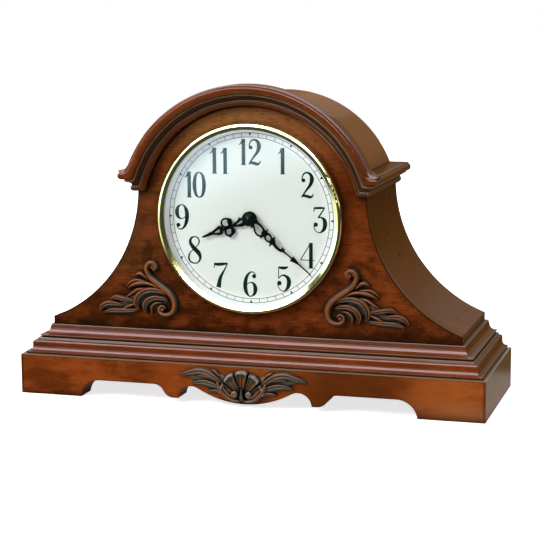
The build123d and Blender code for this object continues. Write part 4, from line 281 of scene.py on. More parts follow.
SHELL_STRIPS = [
    ("ground", [(14, 20, 8, 1.6), (24, 22, 8.5, 2.0), (34, 24.5, 6.5, 2.0), (44, 26.5, 4, 1.8),
                (52, 27.5, 1.6, 1.2)]),
    ("ground", [(4, 9, 3.4, 1.6), (12, 11, 4.4, 1.8), (19, 15, 5.0, 1.8)]),
    ("dusky_leaf", [(19, 20.5, 1.8, 4.0), (25, 26.0, 3.2, 5.0), (33, 30.4, 3.8, 5.4),
                    (42, 31.6, 3.4, 5.0), (51, 29.4, 2.4, 4.2), (61, 26.4, 0.9, 2.4)]),
    ("dusky_leaf", [(19, 16.5, 1.6, 3.6), (26, 19.4, 3.0, 4.8), (35, 21.6, 3.2, 4.8),
                    (42, 21.2, 2.2, 4.0), (48.5, 19.6, 0.8, 2.4)]),
    ("dusky_blade", [(22, 23.0, 1.6, 3.4), (29, 25.6, 2.6, 4.0), (38, 27.0, 2.2, 3.8),
                     (45, 26.2, 0.8, 2.4)]),
    ("dusky_blade", [(16, 11.0, 1.6, 3.4), (22, 13.6, 2.6, 4.2), (28, 14.2, 2.2, 3.6),
                     (33, 12.6, 0.8, 2.2)]),
    ("dusky_blade", [(21, 27.0, 1.2, 3.4), (25, 31.0, 2.2, 3.8), (29.5, 33.6, 1.0, 2.6)]),
    ("dusky_rib", [(1.5, 6.0, 1.4, 3.6), (7, 6.2, 2.1, 4.6), (13, 8.6, 2.4, 5.0), (18.0, 13.0, 2.5, 5.4),
                   (21.4, 18.6, 2.4, 5.4), (22.8, 24.6, 1.6, 4.8)]),
    ("dusky_rib", [(5.0, 8.8, 1.2, 4.0), (10, 10.4, 1.8, 4.6), (15, 14.4, 1.8, 4.8),
                   (18.4, 19.6, 1.2, 4.2)]),
]
SHELL_STEM = ("ground", [(0, 18, 0.8, 4.6), (0, 13.5, 1.3, 5.4), (0, 9.5, 2.6, 5.4), (0, 6.2, 4.6, 4.4)])
SHELL_EYES = [(6.7, 12.4, 3.7, 6.6)]
SHELL_MIDDLE = -1.5
SHELL_ROOT = (0.0, 8.6)
SHELL_SPREAD = math.radians(82)
SHELL_LOBES = 5
SHELL_TOP_REACH = 26.4
SHELL_SIDE_REACH = 23.2
SHELL_RELIEF = 5.6
SHELL_EYE_DIMPLE = 1.2
DUSKY_RUB = 0.72


def hump(place, middle, width, power=2):
    """A bell of height one: e to minus the given power of the distance from the middle over the width."""
    return np.exp(-(((place - middle) / width) ** power))


def bent(start, corner, end, t):
    """Quadratic curve from start to end, which leaves and arrives along the lines to the corner."""
    return (1 - t) ** 2 * start + 2 * t * (1 - t) * corner + t**2 * end


def at(x, y, z):
    """Points from their coordinates, each spread over the common grid."""
    return np.stack(np.broadcast_arrays(x, y, z), axis=-1)


def turns(count):
    """Equal angles once round."""
    return np.linspace(0, 2 * np.pi, count, endpoint=False)


def smooth_path(knots, step, loop=False):
    """Curve through the knots: on each span the cubic whose slope at a knot is half the chord between its
    neighbours, resampled at equal lengths along the first two columns."""
    knots = np.asarray(knots, float)
    if loop:
        ring = np.vstack([knots[-1:], knots, knots[:2]])
    else:
        ring = np.vstack([2 * knots[:1] - knots[1:2], knots, 2 * knots[-1:] - knots[-2:-1]])
    before, start, end, after = ring[:-3], ring[1:-2], ring[2:-1], ring[3:]
    t = np.linspace(0, 1, SPAN_POINTS, endpoint=False)[:, None, None]
    curve = 0.5 * (
        2 * start + (end - before) * t + (2 * before - 5 * start + 4 * end - after) * t**2
        + (3 * start - before - 3 * end + after) * t**3
    )
    curve = np.vstack([curve.transpose(1, 0, 2).reshape(-1, knots.shape[1]), ring[-2:-1]])
    run = np.concatenate([[0], np.cumsum(np.hypot(*np.diff(curve[:, :2], axis=0).T))])
    count = max(int(run[-1] / step), 3) + 1
    even = np.linspace(0, run[-1], count)
    return np.stack([np.interp(even, run, column) for column in curve.T], axis=1)


def ring_quads(rows, columns, loop):
    """Faces of a grid whose rows are closed rings: each joins four neighbours, and in a loop the last row
    meets the first."""
    row = np.arange(rows if loop else rows - 1)[:, None]
    column = np.arange(columns)[None, :]
    here = row * columns
    after = (row + 1) % rows * columns
    beside = (column + 1) % columns
    return np.stack([here + column, after + column, after + beside, here + beside], axis=-1).reshape(-1, 4)


def fan(middle, here, there):
    """Triangles from a middle point to pairs of neighbours on a ring, each with its last corner
    doubled."""
    return np.stack([np.full_like(here, middle), here, there, there], axis=1)


def facing_out(points, faces):
    """Turns every face round if the closed surface's signed volume is negative."""
    first, second, third, fourth = points[faces.T]
    volume = (first * (np.cross(second, third) + np.cross(third, fourth))).sum()
    return faces if volume > 0 else faces[:, ::-1]


def strip(knots, section, face_y, sink, step, loop=False, rounded=True):
    """A carved strip. Along a smooth path, the section's offset times the half width lies across the
    path, its relief times the height stands out from the face, and a flat back under the face closes it.
    Rounded ends shrink as a quarter circle does."""
    path = smooth_path(knots, step, loop)
    if loop:
        path = path[:-1]
        tangent = np.roll(path[:, :2], -1, axis=0) - np.roll(path[:, :2], 1, axis=0)
    else:
        tangent = np.gradient(path[:, :2], axis=0)
    tangent /= np.linalg.norm(tangent, axis=1)[:, None]
    across = np.stack([-tangent[:, 1], tangent[:, 0]], axis=1)
    half, tall = path[:, 2].copy(), path[:, 3].copy()
    if rounded and not loop:
        run = np.arange(len(path)) * step
        for distance, reach in ((run, half[0]), (run[::-1], half[-1])):
            left = 1 - np.clip(distance / max(reach, step), 0.02, 1)
            shrink = np.sqrt(1 - left**2)
            half *= shrink
            tall *= 0.35 + 0.65 * shrink
    offset, relief, rub_and_highlight = section
    offset = np.append(offset, offset[[-1, 0]])
    flat = path[:, None, :2] + across[:, None, :] * (half[:, None] * offset)[:, :, None]
    back = np.full((len(path), 2), face_y + sink)
    depth = np.concatenate([face_y - tall[:, None] * relief, back], axis=1)
    points = at(flat[..., 0], depth, flat[..., 1]).reshape(-1, 3)
    wear_and_highlight = np.tile(np.append(rub_and_highlight, [0, 0]), len(path))
    columns = len(offset)
    faces = ring_quads(len(path), columns, loop)
    if loop:
        return points, facing_out(points, faces), wear_and_highlight
    first = np.arange(columns)[::-1]
    last = np.arange(columns) + (len(path) - 1) * columns
    ends = [fan(len(points), first, np.roll(first, -1)), fan(len(points) + 1, last, np.roll(last, -1))]
    middles = [points[:columns].mean(axis=0), points[-columns:].mean(axis=0)]
    points = np.vstack([points, middles])
    return points, facing_out(points, np.vstack([faces, *ends])), np.append(wear_and_highlight, [0, 0])


def turned(radius, depth, wear_and_highlight, x, z, count):
    """A closed turned surface about the axis at x and z: a ring for each radius and depth of the outline,
    and fans to its first and last depth on the axis."""
    around = turns(count)
    ring = radius[1:-1, None]
    rings = at(x + ring * np.cos(around), depth[1:-1, None], z + ring * np.sin(around))
    points = np.vstack([rings.reshape(-1, 3), [(x, depth[0], z), (x, depth[-1], z)]])
    first = np.arange(count)
    last = first + (len(ring) - 1) * count
    top = fan(len(points) - 2, first, np.roll(first, -1))
    under = fan(len(points) - 1, np.roll(last, -1), last)
    faces = np.vstack([ring_quads(len(ring), count, False), top, under])
    return points, facing_out(points, faces), np.append(np.repeat(wear_and_highlight[1:-1], count), wear_and_highlight[[0, -1]])


def turned_button(x, z, radius, tall, face_y, sink, hollow=0.0):
    """A round boss on the face: its relief falls from the middle as a quarter ellipse, with a dimple in the
    middle if hollow is above nought; a dimpled one is rubbed inside a ring of painted highlight."""
    along = np.linspace(0, 1, BUTTON_ROWS)
    relief = tall * np.sqrt(np.clip(1 - along**2.4, 0, 1)) - hollow * hump(along, 0, 0.3)
    rub_and_highlight = np.clip(1.5 - 1.5 * along, 0, 1)
    if hollow:
        rub_and_highlight = np.where(along < 0.5, 1.0, -hump(along, 0.7, 0.16))
    outline = radius * np.append(along, [1, 0])
    depth = face_y - np.append(relief, [-sink, -sink])
    return turned(outline, depth, np.append(rub_and_highlight, [0, 0]), x, z, BUTTON_SIDES)


def domed_glass():
    """The convex glass, turned: a ball's cap outside, a flat rim, and a parallel cap inside."""
    low, high = box_corners("crystal")
    rim = (high.x - low.x) / 2
    rim_front = high.y - GLASS_THICKNESS
    rise = rim_front - low.y
    share = np.linspace(0, 1, GLASS_ROWS)
    caps = []
    for reach, edge_y in ((rim - GLASS_RIM, rim_front), (rim - 1.5 * GLASS_RIM, high.y)):
        ball = (reach**2 + rise**2) / (2 * rise)
        caps.append((reach * share, edge_y + ball - rise - np.sqrt(ball**2 - (reach * share) ** 2)))
    (outer, front), (inner, back) = caps
    radius = np.concatenate([outer, [rim, rim], inner[::-1]])
    depth = np.concatenate([front, [rim_front, high.y], back[::-1]])
    return turned(radius, depth, 0 * radius, 0, DIAL_CENTRE_Z, GLASS_SIDES)


def sections():
    """Cross sections of the carved strips as offset, relief and rub from edge to edge: a round rib, a
    leaf with a hollow between two ridges, a blade with its crest near one edge, low ground, a flat pen
    line, a stamped strip with eased edges, and the first three less rubbed."""
    u = np.linspace(-1, 1, SECTION_POINTS)
    dome = np.clip(1 - np.abs(u) ** 2.6, 0, 1) ** 0.5
    groove = 0.30 * hump(u, 0.05, 0.26) + 0.16 * hump(u, -0.62, 0.16)
    ridge = hump(u, 0.50, 0.34, 4) + 0.7 * hump(u, -0.34, 0.17)
    crest = 0.25
    rise, fall = (u + 1) / (1 + crest), (u - crest) / (1 - crest)
    slope = np.where(u < crest, rise**0.75, 1 - 0.55 * fall**2)
    made = {
        "rib": (u, dome, np.clip(1.45 - 1.9 * np.abs(u - 0.1), 0, 1)),
        "leaf": (u, dome - groove * dome, np.clip(ridge, 0, 1)),
        "blade": (u, slope * np.clip((1 - np.abs(u)) / 0.12, 0.05, 1) ** 0.4, hump(u, crest, 0.5, 4)),
        "ground": (u, dome, 0 * u),
        "pen": (np.array([-1.0, 1.0]), np.ones(2), np.zeros(2)),
        "stamped": (np.array([-1.0, -0.7, 0.7, 1.0]), np.array([0.3, 1.0, 1.0, 0.3]), np.zeros(4)),
    }
    for name in ("rib", "leaf", "blade"):
        offset, relief, rub_and_highlight = made[name]
        made["dusky_" + name] = (offset, relief, DUSKY_RUB * rub_and_highlight)
    return made


SECTIONS = sections()


def carved(strips, eyes, face_y, dimple=0.0):
    """All the strips and eyes of one carving."""
    shells = [strip(knots, SECTIONS[section], face_y, CARVING_SINK, CARVING_STEP)
              for section, knots in strips]
    return shells + [turned_button(*eye, face_y, CARVING_SINK, dimple) for eye in eyes]


def shell_fan(face_y):
    """The fluted fan: on a grid of reach and angle from the root, each lobe's relief is a hollow between
    two ridges with a fine rib down its middle, cut away where lobes meet, and rolls over in a rounded lip
    at its scalloped edge; straight walls and a flat back close it."""
    reach = np.linspace(0.02, 1, FAN_ROWS)
    angle = np.linspace(-SHELL_SPREAD, SHELL_SPREAD, FAN_COLUMNS)
    lobe = (angle / SHELL_SPREAD + 1) / 2 * SHELL_LOBES
    across = 2 * (lobe - np.floor(np.clip(lobe, 0, SHELL_LOBES - 1e-6))) - 1
    arc = np.sqrt(np.clip(1 - across**2, 0, 1))
    edge = SHELL_SIDE_REACH + (SHELL_TOP_REACH - SHELL_SIDE_REACH) * np.cos(angle) ** 2
    edge = edge * (0.91 + 0.09 * arc)
    r, v = np.meshgrid(reach, across, indexing="ij")
    grow = np.clip(r * 1.8, 0, 1)
    ridge = 0.34 * hump(np.abs(v), 0.74, 0.16) + 0.14 * hump(v, 0, 0.09)
    slot = 0.55 * np.clip((np.abs(v) - 0.88) / 0.10, 0, 1)
    lip = hump(r, 0.90, 0.07) * arc
    bowl = np.sin(np.clip(r * 1.3, 0, 1) * np.pi / 2)
    relief = SHELL_RELIEF * (bowl * (0.48 + grow * (ridge - slot)) + 0.42 * lip)
    relief = np.clip(relief, 0.3, None) * np.clip((1.012 - r) / 0.06, 0.1, 1) ** 0.5
    x = SHELL_ROOT[0] + r * edge * np.sin(angle)
    z = SHELL_ROOT[1] + r * edge * np.cos(angle)
    points = np.vstack([at(x, y, z).reshape(-1, 3) for y in (face_y - relief, face_y + CARVING_SINK)])
    grid = np.arange(r.size).reshape(r.shape)
    sheet = np.stack([grid[:-1, :-1], grid[1:, :-1], grid[1:, 1:], grid[:-1, 1:]], axis=-1).reshape(-1, 4)
    rim = np.concatenate([grid[0], grid[1:, -1], grid[-1, -2::-1], grid[-2:0:-1, 0]])
    next_rim = np.roll(rim, -1)
    wall = np.stack([rim, next_rim, next_rim + r.size, rim + r.size], axis=1)
    faces = np.vstack([sheet, sheet[:, ::-1] + r.size, wall])
    hollow = hump(np.abs(v), 0.33, 0.27, 4) * hump(r, 0.58, 0.22, 4)
    # The rolled lip gets a painted highlight: rub below nought.
    wear_and_highlight = hollow - 1.1 * hump(r, 0.93, 0.05) * np.clip(1.3 * arc - 0.4, 0, 1)
    return points, facing_out(points, faces), np.append(wear_and_highlight, np.zeros(r.size))


def strokes(parts, x, z, weight, relief, section, face_y, sink, rounded):
    """Strokes about the given middle: a line or loop is a strip along its knots, and a ball a ring whose
    inner edge meets at its middle."""
    shells = []
    for kind, knots in parts:
        placed = [(x + a, z + b, weight * w, relief) for a, b, w in knots]
        if kind == "ball":
            middle_x, middle_z, radius, _ = placed[0]
            half = radius / 2
            placed = [(middle_x + half * math.cos(t), middle_z + half * math.sin(t), half, relief)
                      for t in turns(BALL_KNOTS)]
        shells.append(strip(placed, SECTIONS[section], face_y, sink, STROKE_STEP, kind != "line", rounded))
    return shells


def pen_strokes(digit, x, z):
    """One digit's strokes as flat ink a hair above the dial, about the given middle."""
    return strokes(DIGIT_STROKES[digit], x, DIAL_CENTRE_Z + z, PEN_WEIGHT, PRINT_RELIEF, "pen", DIAL_FACE_Y,
                   PRINT_SINK, False)


def stamped_hand(node, parts):
    """A hand as stamped strokes in the plane of its solid, from the solid's back face."""
    back = 1000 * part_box(node)[1].y
    return strokes(parts, 0, DIAL_CENTRE_Z, HAND_WEIGHT, HAND_RELIEF, "stamped", back - HAND_SINK,
                   HAND_SINK, True)


def on_dial(radius, angle, half):
    """Knots of a printed line at a radius and angle clockwise from twelve, with half its width."""
    across = radius * np.sin(angle)
    up = DIAL_CENTRE_Z + radius * np.cos(angle)
    return np.stack(np.broadcast_arrays(across, up, half, PRINT_RELIEF), axis=-1)


def circle_line(radius, half):
    """A thin printed circle about the dial's centre."""
    knots = on_dial(radius, turns(CIRCLE_KNOTS), half)
    return strip(knots, SECTIONS["pen"], DIAL_FACE_Y, PRINT_SINK, PRINT_STEP, loop=True)


def radial_line(minute, inner, outer, inner_half, outer_half):
    """A printed line along a radius at the given minute, with its own half width at each end."""
    knots = on_dial(np.array([inner, outer]), math.radians(6 * minute), np.array([inner_half, outer_half]))
    return strip(knots, SECTIONS["pen"], DIAL_FACE_Y, PRINT_SINK, PRINT_STEP, rounded=False)


def eased_profile(corners):
    """Line through the corners from top to foot; each inner corner is a quadratic curve that starts and
    ends its ease away from it."""
    corners = np.asarray(corners, float)
    place, ease_length, pale = corners[:, :2], corners[:, 2], corners[:, 3]
    way = np.diff(place, axis=0)
    way /= np.linalg.norm(way, axis=1)[:, None]
    start = place[1:-1] - way[:-1] * ease_length[1:-1, None]
    end = place[1:-1] + way[1:] * ease_length[1:-1, None]
    t = np.linspace(0, 1, EASE_POINTS)[None, :, None]
    curve = bent(start[:, None], place[1:-1][:, None], end[:, None], t)
    depth, height = np.vstack([place[:1], curve.reshape(-1, 2), place[-1:]]).T
    return depth, height, np.concatenate([pale[:1], np.repeat(pale[1:-1], t.size), pale[-1:]])


def run_of_moulding(front, back, pale, side):
    """A closed run of moulding from stations of front points and as many points on its back: the outside
    joins station to station, and strips from front to back close both ends. Its rub is the profile's
    paleness, worn and a painted highlight, below nought on the front and above one on the sides, and one
    where the top is side wood."""
    rings = np.concatenate([front, back[:, ::-1]], axis=1)
    stations, columns = rings.shape[:2]
    points = rings.reshape(-1, 3)
    across = np.arange(columns // 2 - 1)
    cap = np.stack([across, across + 1, columns - 2 - across, columns - 1 - across], axis=1)
    far_cap = cap[:, ::-1] + (stations - 1) * columns
    faces = np.vstack([ring_quads(stations, columns, False), cap, far_cap])
    behind = np.zeros_like(pale)
    behind[-1] = pale[0]
    wear_and_highlight = np.concatenate([pale, behind])
    wear_and_highlight = 1 + np.maximum(wear_and_highlight, 0) if side else -wear_and_highlight
    return points, facing_out(points, faces), np.tile(wear_and_highlight, stations)


PROFILE_DEPTH, PROFILE_HEIGHT, PROFILE_PALE = eased_profile(MOULDING_CORNERS)


def inner_turn(side, share):
    """Where the arch meets the ear: for each height the quadratic curve from a point on the arch, through
    the mitre, to a point on the ear, at the given shares of its length."""
    radius = ARCH_INNER + PROFILE_HEIGHT
    level = ARCH_RISE + PROFILE_HEIGHT
    mitre = np.stack([np.sqrt(radius**2 - level**2), level], axis=1)
    turn = MOULDING_TURN * (0.1 + 0.9 * (PROFILE_HEIGHT / MOULDING_HEIGHT) ** 2)
    angle = np.arctan2(mitre[:, 0], level) - turn / radius
    on_arch = np.stack([radius * np.sin(angle), radius * np.cos(angle)], axis=1)
    on_ear = mitre + np.stack([turn, 0 * turn], axis=1)
    return bent(on_arch, mitre, on_ear, share[:, None, None]) * [side, 1], angle


def on_front(flat):
    """Front and back points of moulding that lies against the board, from places across and up about the
    dial's centre."""
    x, z = flat[..., 0], DIAL_CENTRE_Z + flat[..., 1]
    return at(x, CORNICE_LOW.y + PROFILE_DEPTH, z), at(x, BOARD_FACE_Y, z)


def arch_run():
    """The arch: the profile carried round the dial's centre, with half of each turn into the ears."""
    share = np.linspace(0, 0.5, TURN_STATIONS)[1:]
    right_turn, angle = inner_turn(1, share)
    left_turn, _ = inner_turn(-1, share[::-1])
    sweep = np.linspace(-1, 1, ARCH_STATIONS)[:, None] * angle
    radius = ARCH_INNER + PROFILE_HEIGHT
    ring = np.stack([radius * np.sin(sweep), radius * np.cos(sweep)], axis=2)
    return run_of_moulding(*on_front(np.concatenate([left_turn, ring, right_turn])), PROFILE_PALE, False)


def ear_run():
    """The right ear: the other half of the turn, then straight out to the mitre at the corner."""
    turn, _ = inner_turn(1, np.linspace(0.5, 1, TURN_STATIONS))
    run = []
    for stations, inward in zip(on_front(turn), (PROFILE_DEPTH, MOULDING_DEPTH)):
        corner = stations[-1:].copy()
        corner[..., 0] = CORNICE_HIGH.x - inward
        run.append(np.concatenate([stations, corner]))
    return run_of_moulding(*run, PROFILE_PALE, False)


def return_run():
    """The right side return: the profile carried from the mitre to the back, reaching into the barrel's
    wall."""
    z = CORNICE_LOW.z + PROFILE_HEIGHT
    outer_x = CORNICE_HIGH.x - PROFILE_DEPTH
    inner_x = np.sqrt((BARREL_RADIUS - BARREL_SINK) ** 2 - (ARCH_RISE + PROFILE_HEIGHT) ** 2)
    front = [at(outer_x, y, z) for y in (CORNICE_LOW.y + PROFILE_DEPTH, CORNICE_HIGH.y)]
    back = [at(inner_x, y, z) for y in (BOARD_FACE_Y, CORNICE_HIGH.y - BARREL_END_SINK)]
    return run_of_moulding(np.stack(front), np.stack(back), PROFILE_PALE, True)


def base_runs(name):
    """Front and right runs of one base moulding: the profile set back from the plinth's faces, mitred
    where the runs meet."""
    depth, height, pale = eased_profile(BASE_CORNERS[name])
    low, high = box_corners(name + "_front")
    back_y = 1000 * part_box(name + "_right")[1].y
    z = low.z + height
    front, right = [], []
    for inward in (depth, high.y - low.y):
        corner = at(high.x - inward, low.y + inward, z)
        front.append(np.stack([corner * [-1, 1, 1], corner]))
        right.append(np.stack([corner, at(high.x - inward, back_y, z)]))
    return run_of_moulding(*front, pale, False), run_of_moulding(*right, pale, True)


def mirrored(shells):
    """The same surfaces with left and right exchanged, each face turned round to point outwards again."""
    return [(points * [-1, 1, 1], faces[:, ::-1], wear_and_highlight) for points, faces, wear_and_highlight in shells]


def into_scene(name, data):
    """A new object in the scene's own collection."""
    made = bpy.data.objects.new(name, data)
    bpy.context.scene.collection.objects.link(made)
    return made


def piece(name, shells, material, body, replaced=(), crease=PIECE_CREASE):
    """Joins closed surfaces in millimetres into one mesh in metres, keeps each point's rub and painted
    highlight, and hands it to its body."""
    starts = np.cumsum([0] + [len(points) for points, _, _ in shells])
    points = np.vstack([shell_points for shell_points, _, _ in shells]) * MM
    faces = np.vstack([shell_faces + start for (_, shell_faces, _), start in zip(shells, starts)])
    wear_and_highlight = np.concatenate([shell_wear_and_highlight for _, _, shell_wear_and_highlight in shells])
    folded = faces[:, 2] == faces[:, 3]
    opened = faces[:, 0] == faces[:, 1]
    three = np.where(opened[:, None], faces[:, 1:], faces[:, :3])
    lists = faces[~folded & ~opened].tolist() + three[folded | opened].tolist()
    mesh = bpy.data.meshes.new(name)
    mesh.from_pydata(points.tolist(), [], lists)
    mesh.attributes.new("rub_and_highlight", "FLOAT", "POINT").data.foreach_set("value", wear_and_highlight.astype(np.float32))
    mesh.shade_smooth()
    mesh.set_sharp_from_angle(angle=math.radians(crease))
    mesh.materials.append(material)
    made = into_scene(name, mesh)
    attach(made, body)
    if replaced:
        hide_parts(*replaced)


# Colours of the finishes; the dark, olive and back glaze colours also serve as painted shade in corners and
# recesses
WHITE = (1, 1, 1, 1)
DARK_GLAZE_AND_SHADE = (0.007, 0.003, 0.0012, 1)
OLIVE_GLAZE_AND_SHADE = (0.024, 0.017, 0.008, 1)
BACK_CORNER_SHADE = (0.02, 0.009, 0.004, 1)
# Pale for worn edges, and for painted highlights along edges
PALE_WEAR_AND_HIGHLIGHT = (0.22, 0.155, 0.105, 1)
INSIDE_WHITE = (0.93, 0.94, 0.95, 1)

# Dark, middle and light shade of each wood; the side, end and roof shades are the same cherry painted more
# olive and paler with the sheen and light those faces catch
APRON_SHADES = ((0.108, 0.0220, 0.0036, 1), (0.232, 0.0490, 0.0080, 1), (0.355, 0.0860, 0.0160, 1))
FRONT_SHADES = ((0.050, 0.0120, 0.0026, 1), (0.134, 0.0275, 0.0052, 1), (0.225, 0.0480, 0.0095, 1))
MOULDING_SHADES = ((0.062, 0.0115, 0.0018, 1), (0.152, 0.0285, 0.0042, 1), (0.250, 0.0560, 0.0085, 1))
ARCH_SHADES = ((0.050, 0.0105, 0.0018, 1), (0.130, 0.0280, 0.0045, 1), (0.225, 0.0540, 0.0090, 1))
SIDE_SHADES_AND_SHEEN = ((0.116, 0.042, 0.0080, 1), (0.150, 0.056, 0.0115, 1), (0.184, 0.070, 0.0160, 1))
END_SHADES_AND_SHEEN = ((0.150, 0.068, 0.0150, 1), (0.180, 0.085, 0.0200, 1), (0.210, 0.102, 0.0260, 1))
ROOF_SHADES_AND_LIGHT = ((0.196, 0.080, 0.0190, 1), (0.240, 0.098, 0.0245, 1), (0.284, 0.116, 0.0305, 1))
BACK_SHADES = ((0.075, 0.030, 0.012, 1), (0.135, 0.058, 0.024, 1), (0.21, 0.10, 0.045, 1))

# Toning sprayed or rubbed over the wood, and painted light and shade: shadow on the sides, shade at the
# board's upper left, a sheen over the dial and bounced light low on the apron
SIDE_SHADOW = (0.056, 0.023, 0.0045, 1)
PAINTED_SHEEN_OVER_DIAL = (0.29, 0.130, 0.052, 1)
RIM_SHADE = (0.028, 0.010, 0.0025, 1)
PAINTED_SHADE_LEFT = (0.060, 0.029, 0.010, 1)
RED_RIGHT = (0.20, 0.042, 0.008, 1)
SOOT = (0.030, 0.0085, 0.0022, 1)
DARK_CORNER = (0.048, 0.0115, 0.0028, 1)
APRON_CLOUD = (0.075, 0.018, 0.0030, 1)
APRON_PAINTED_BOUNCE = (0.30, 0.125, 0.045, 1)

# The carvings' antique finish, with painted shade in the hollows and painted highlights on rolled lips
LOW_PEWTER = (0.092, 0.084, 0.058, 1)
HIGH_PEWTER = (0.052, 0.049, 0.034, 1)
RUBBED_ORANGE = (0.225, 0.060, 0.010, 1)
PAINTED_LIP_HIGHLIGHT = (0.26, 0.22, 0.19, 1)
HOLLOW_PATINA_AND_SHADE = (0.007, 0.0055, 0.0035, 1)

GRAIN_TURN = {"x": (0, 0, 0), "y": (0, 0, math.radians(-90)), "z": (0, math.radians(90), 0)}
AO_SAMPLES = 8
BEVEL_SAMPLES = 6


def grey(level):
    """A neutral colour."""
    return (level, level, level, 1)


def feed(node, feeds):
    """Gives each named input of a shader node a value, or a link from a signal."""
    for key, value in feeds.items():
        if isinstance(value, Signal):
            node.id_data.links.new(value.socket, node.inputs[key])
        else:
            node.inputs[key].default_value = value


def add(tree, kind, feeds=None, **settings):
    """Adds a shader node, sets its properties, and feeds its inputs."""
    node = tree.nodes.new("ShaderNode" + kind)
    for key, value in settings.items():
        setattr(node, key, value)
    feed(node, feeds or {})
    return node


class Signal:
    """What a shader node puts out. Arithmetic on it adds further nodes to the same tree."""

    def __init__(self, node, output=0):
        self.socket = node.outputs[output]
        self.tree = node.id_data

    def calc(self, operation, other=0.0, clamp=False):
        """One step of arithmetic."""
        return Signal(add(self.tree, "Math", {0: self, 1: other}, operation=operation, use_clamp=clamp))

    def __add__(self, other):
        return self.calc("ADD", other)

    def __sub__(self, other):
        return self.calc("SUBTRACT", other)

    def __rsub__(self, other):
        return Signal(add(self.tree, "Math", {0: other, 1: self}, operation="SUBTRACT"))

    def __mul__(self, other):
        return self.calc("MULTIPLY", other)

    def most(self, other):
        """The larger of the two."""
        return self.calc("MAXIMUM", other)

    def ease(self, start, end, low=0.0, high=1.0):
        """Smooth step from low to high as the value goes from start to end."""
        feeds = {"Value": self, "From Min": start, "From Max": end, "To Min": low, "To Max": high}
        return Signal(add(self.tree, "MapRange", feeds, interpolation_type="SMOOTHSTEP"))

    def vector(self, operation, other=(0, 0, 0), output="Vector"):
        """One step of vector arithmetic."""
        return Signal(add(self.tree, "VectorMath", {0: self, 1: other}, operation=operation), output)

    def length(self):
        """A vector's length."""
        return self.vector("LENGTH", output="Value")

    def split(self):
        """A vector's three coordinates."""
        return signals(add(self.tree, "SeparateXYZ", {0: self}), "X", "Y", "Z")

    def mapped(self, **feeds):
        """A place moved, turned or scaled."""
        return Signal(add(self.tree, "Mapping", {"Vector": self, **feeds}))

    def noise(self, scale, detail=3.0, roughness=0.55, distortion=0.0):
        """Smooth noise of nought to one at a place."""
        feeds = {"Vector": self, "Scale": scale, "Detail": detail, "Roughness": roughness,
                 "Distortion": distortion}
        return Signal(add(self.tree, "TexNoise", feeds))


def signals(node, *outputs):
    """Several outputs of one node."""
    return [Signal(node, output) for output in outputs]


def tint(factor, first, second):
    """Mixes two colours, the second as far as the factor says."""
    return Signal(add(factor.tree, "Mix", {0: factor, 6: first, 7: second}, data_type="RGBA"), 2)


def object_place(tree):
    """Object coordinates, in metres."""
    return Signal(add(tree, "TexCoord"), "Object")


def rub_and_highlight_on(tree):
    """The rub and painted highlight that a piece's points carry."""
    return Signal(add(tree, "Attribute", attribute_name="rub_and_highlight"), "Fac")


def openness(tree, reach, inside=False):
    """How open a place is within reach, either outside or inside its own wood."""
    closed = add(tree, "AmbientOcclusion", {"Distance": reach}, samples=AO_SAMPLES, inside=inside,
                 only_local=inside)
    return Signal(closed, "AO")


def from_dial_centre(place):
    """Distance from the dial's axis, in metres."""
    middle = place.vector("SUBTRACT", (0, 0, MM * DIAL_CENTRE_Z))
    return middle.vector("MULTIPLY", (1, 0, 1)).length()


def new_group(name, inputs, outputs):
    """An empty node group with named sockets: the group, its inputs as signals by name, and its output
    node."""
    group = bpy.data.node_groups.new(name, "ShaderNodeTree")
    for label, kind, value in inputs:
        socket = group.interface.new_socket(label, in_out="INPUT", socket_type="NodeSocket" + kind)
        if value is not None:
            socket.default_value = value
    for label, kind in outputs:
        group.interface.new_socket(label, in_out="OUTPUT", socket_type="NodeSocket" + kind)
    start = group.nodes.new("NodeGroupInput")
    ins = {label: Signal(start, label) for label, _, _ in inputs}
    return group, ins, group.nodes.new("NodeGroupOutput")


def make_wood_figure():
    """Wood figure, grain along the first axis: slow blotches, streaks and fine fibres add up to a tone,
    which runs through three colours; pores are short dark dashes."""
    brown = (0.1, 0.03, 0.01, 1)
    shades = [(shade, "Color", brown) for shade in ("Dark", "Middle", "Light")]
    group, ins, outs = new_group(
        "wood_figure",
        [("Vector", "Vector", None), *shades, ("Blotch", "Float", 0.5), ("Streak", "Float", 0.35)],
        [("Color", "Color"), ("Tone", "Float"), ("Height", "Float")])
    place = ins["Vector"]
    fine = place.mapped(Scale=(0.03, 1, 1))
    cloud = place.noise(7, 2, 0.5)
    blotch = place.mapped(Scale=(0.45, 1, 1)).noise(62, 7, 0.68, 0.25)
    streak = place.mapped(Scale=(0.05, 1, 1)).noise(260, 4, 0.6, 0.3)
    fibre = fine.noise(1500, 2, 0.5)
    tone = ((blotch - 0.5) + (cloud - 0.5)) * ins["Blotch"]
    tone = tone + (streak - 0.5) * ins["Streak"] + (fibre - 0.5) * 0.22
    tone = tone.calc("ADD", 0.5, clamp=True)
    colour = tint(tone.ease(0.2, 0.5), ins["Dark"], ins["Middle"])
    colour = tint(tone.ease(0.5, 0.8), colour, ins["Light"])
    pore = fine.noise(900, 1, 0.4).ease(0.66, 0.74)
    colour = tint(pore * 0.35, colour, ins["Dark"])
    feed(outs, {"Color": colour, "Tone": tone, "Height": fibre - pore})
    return group


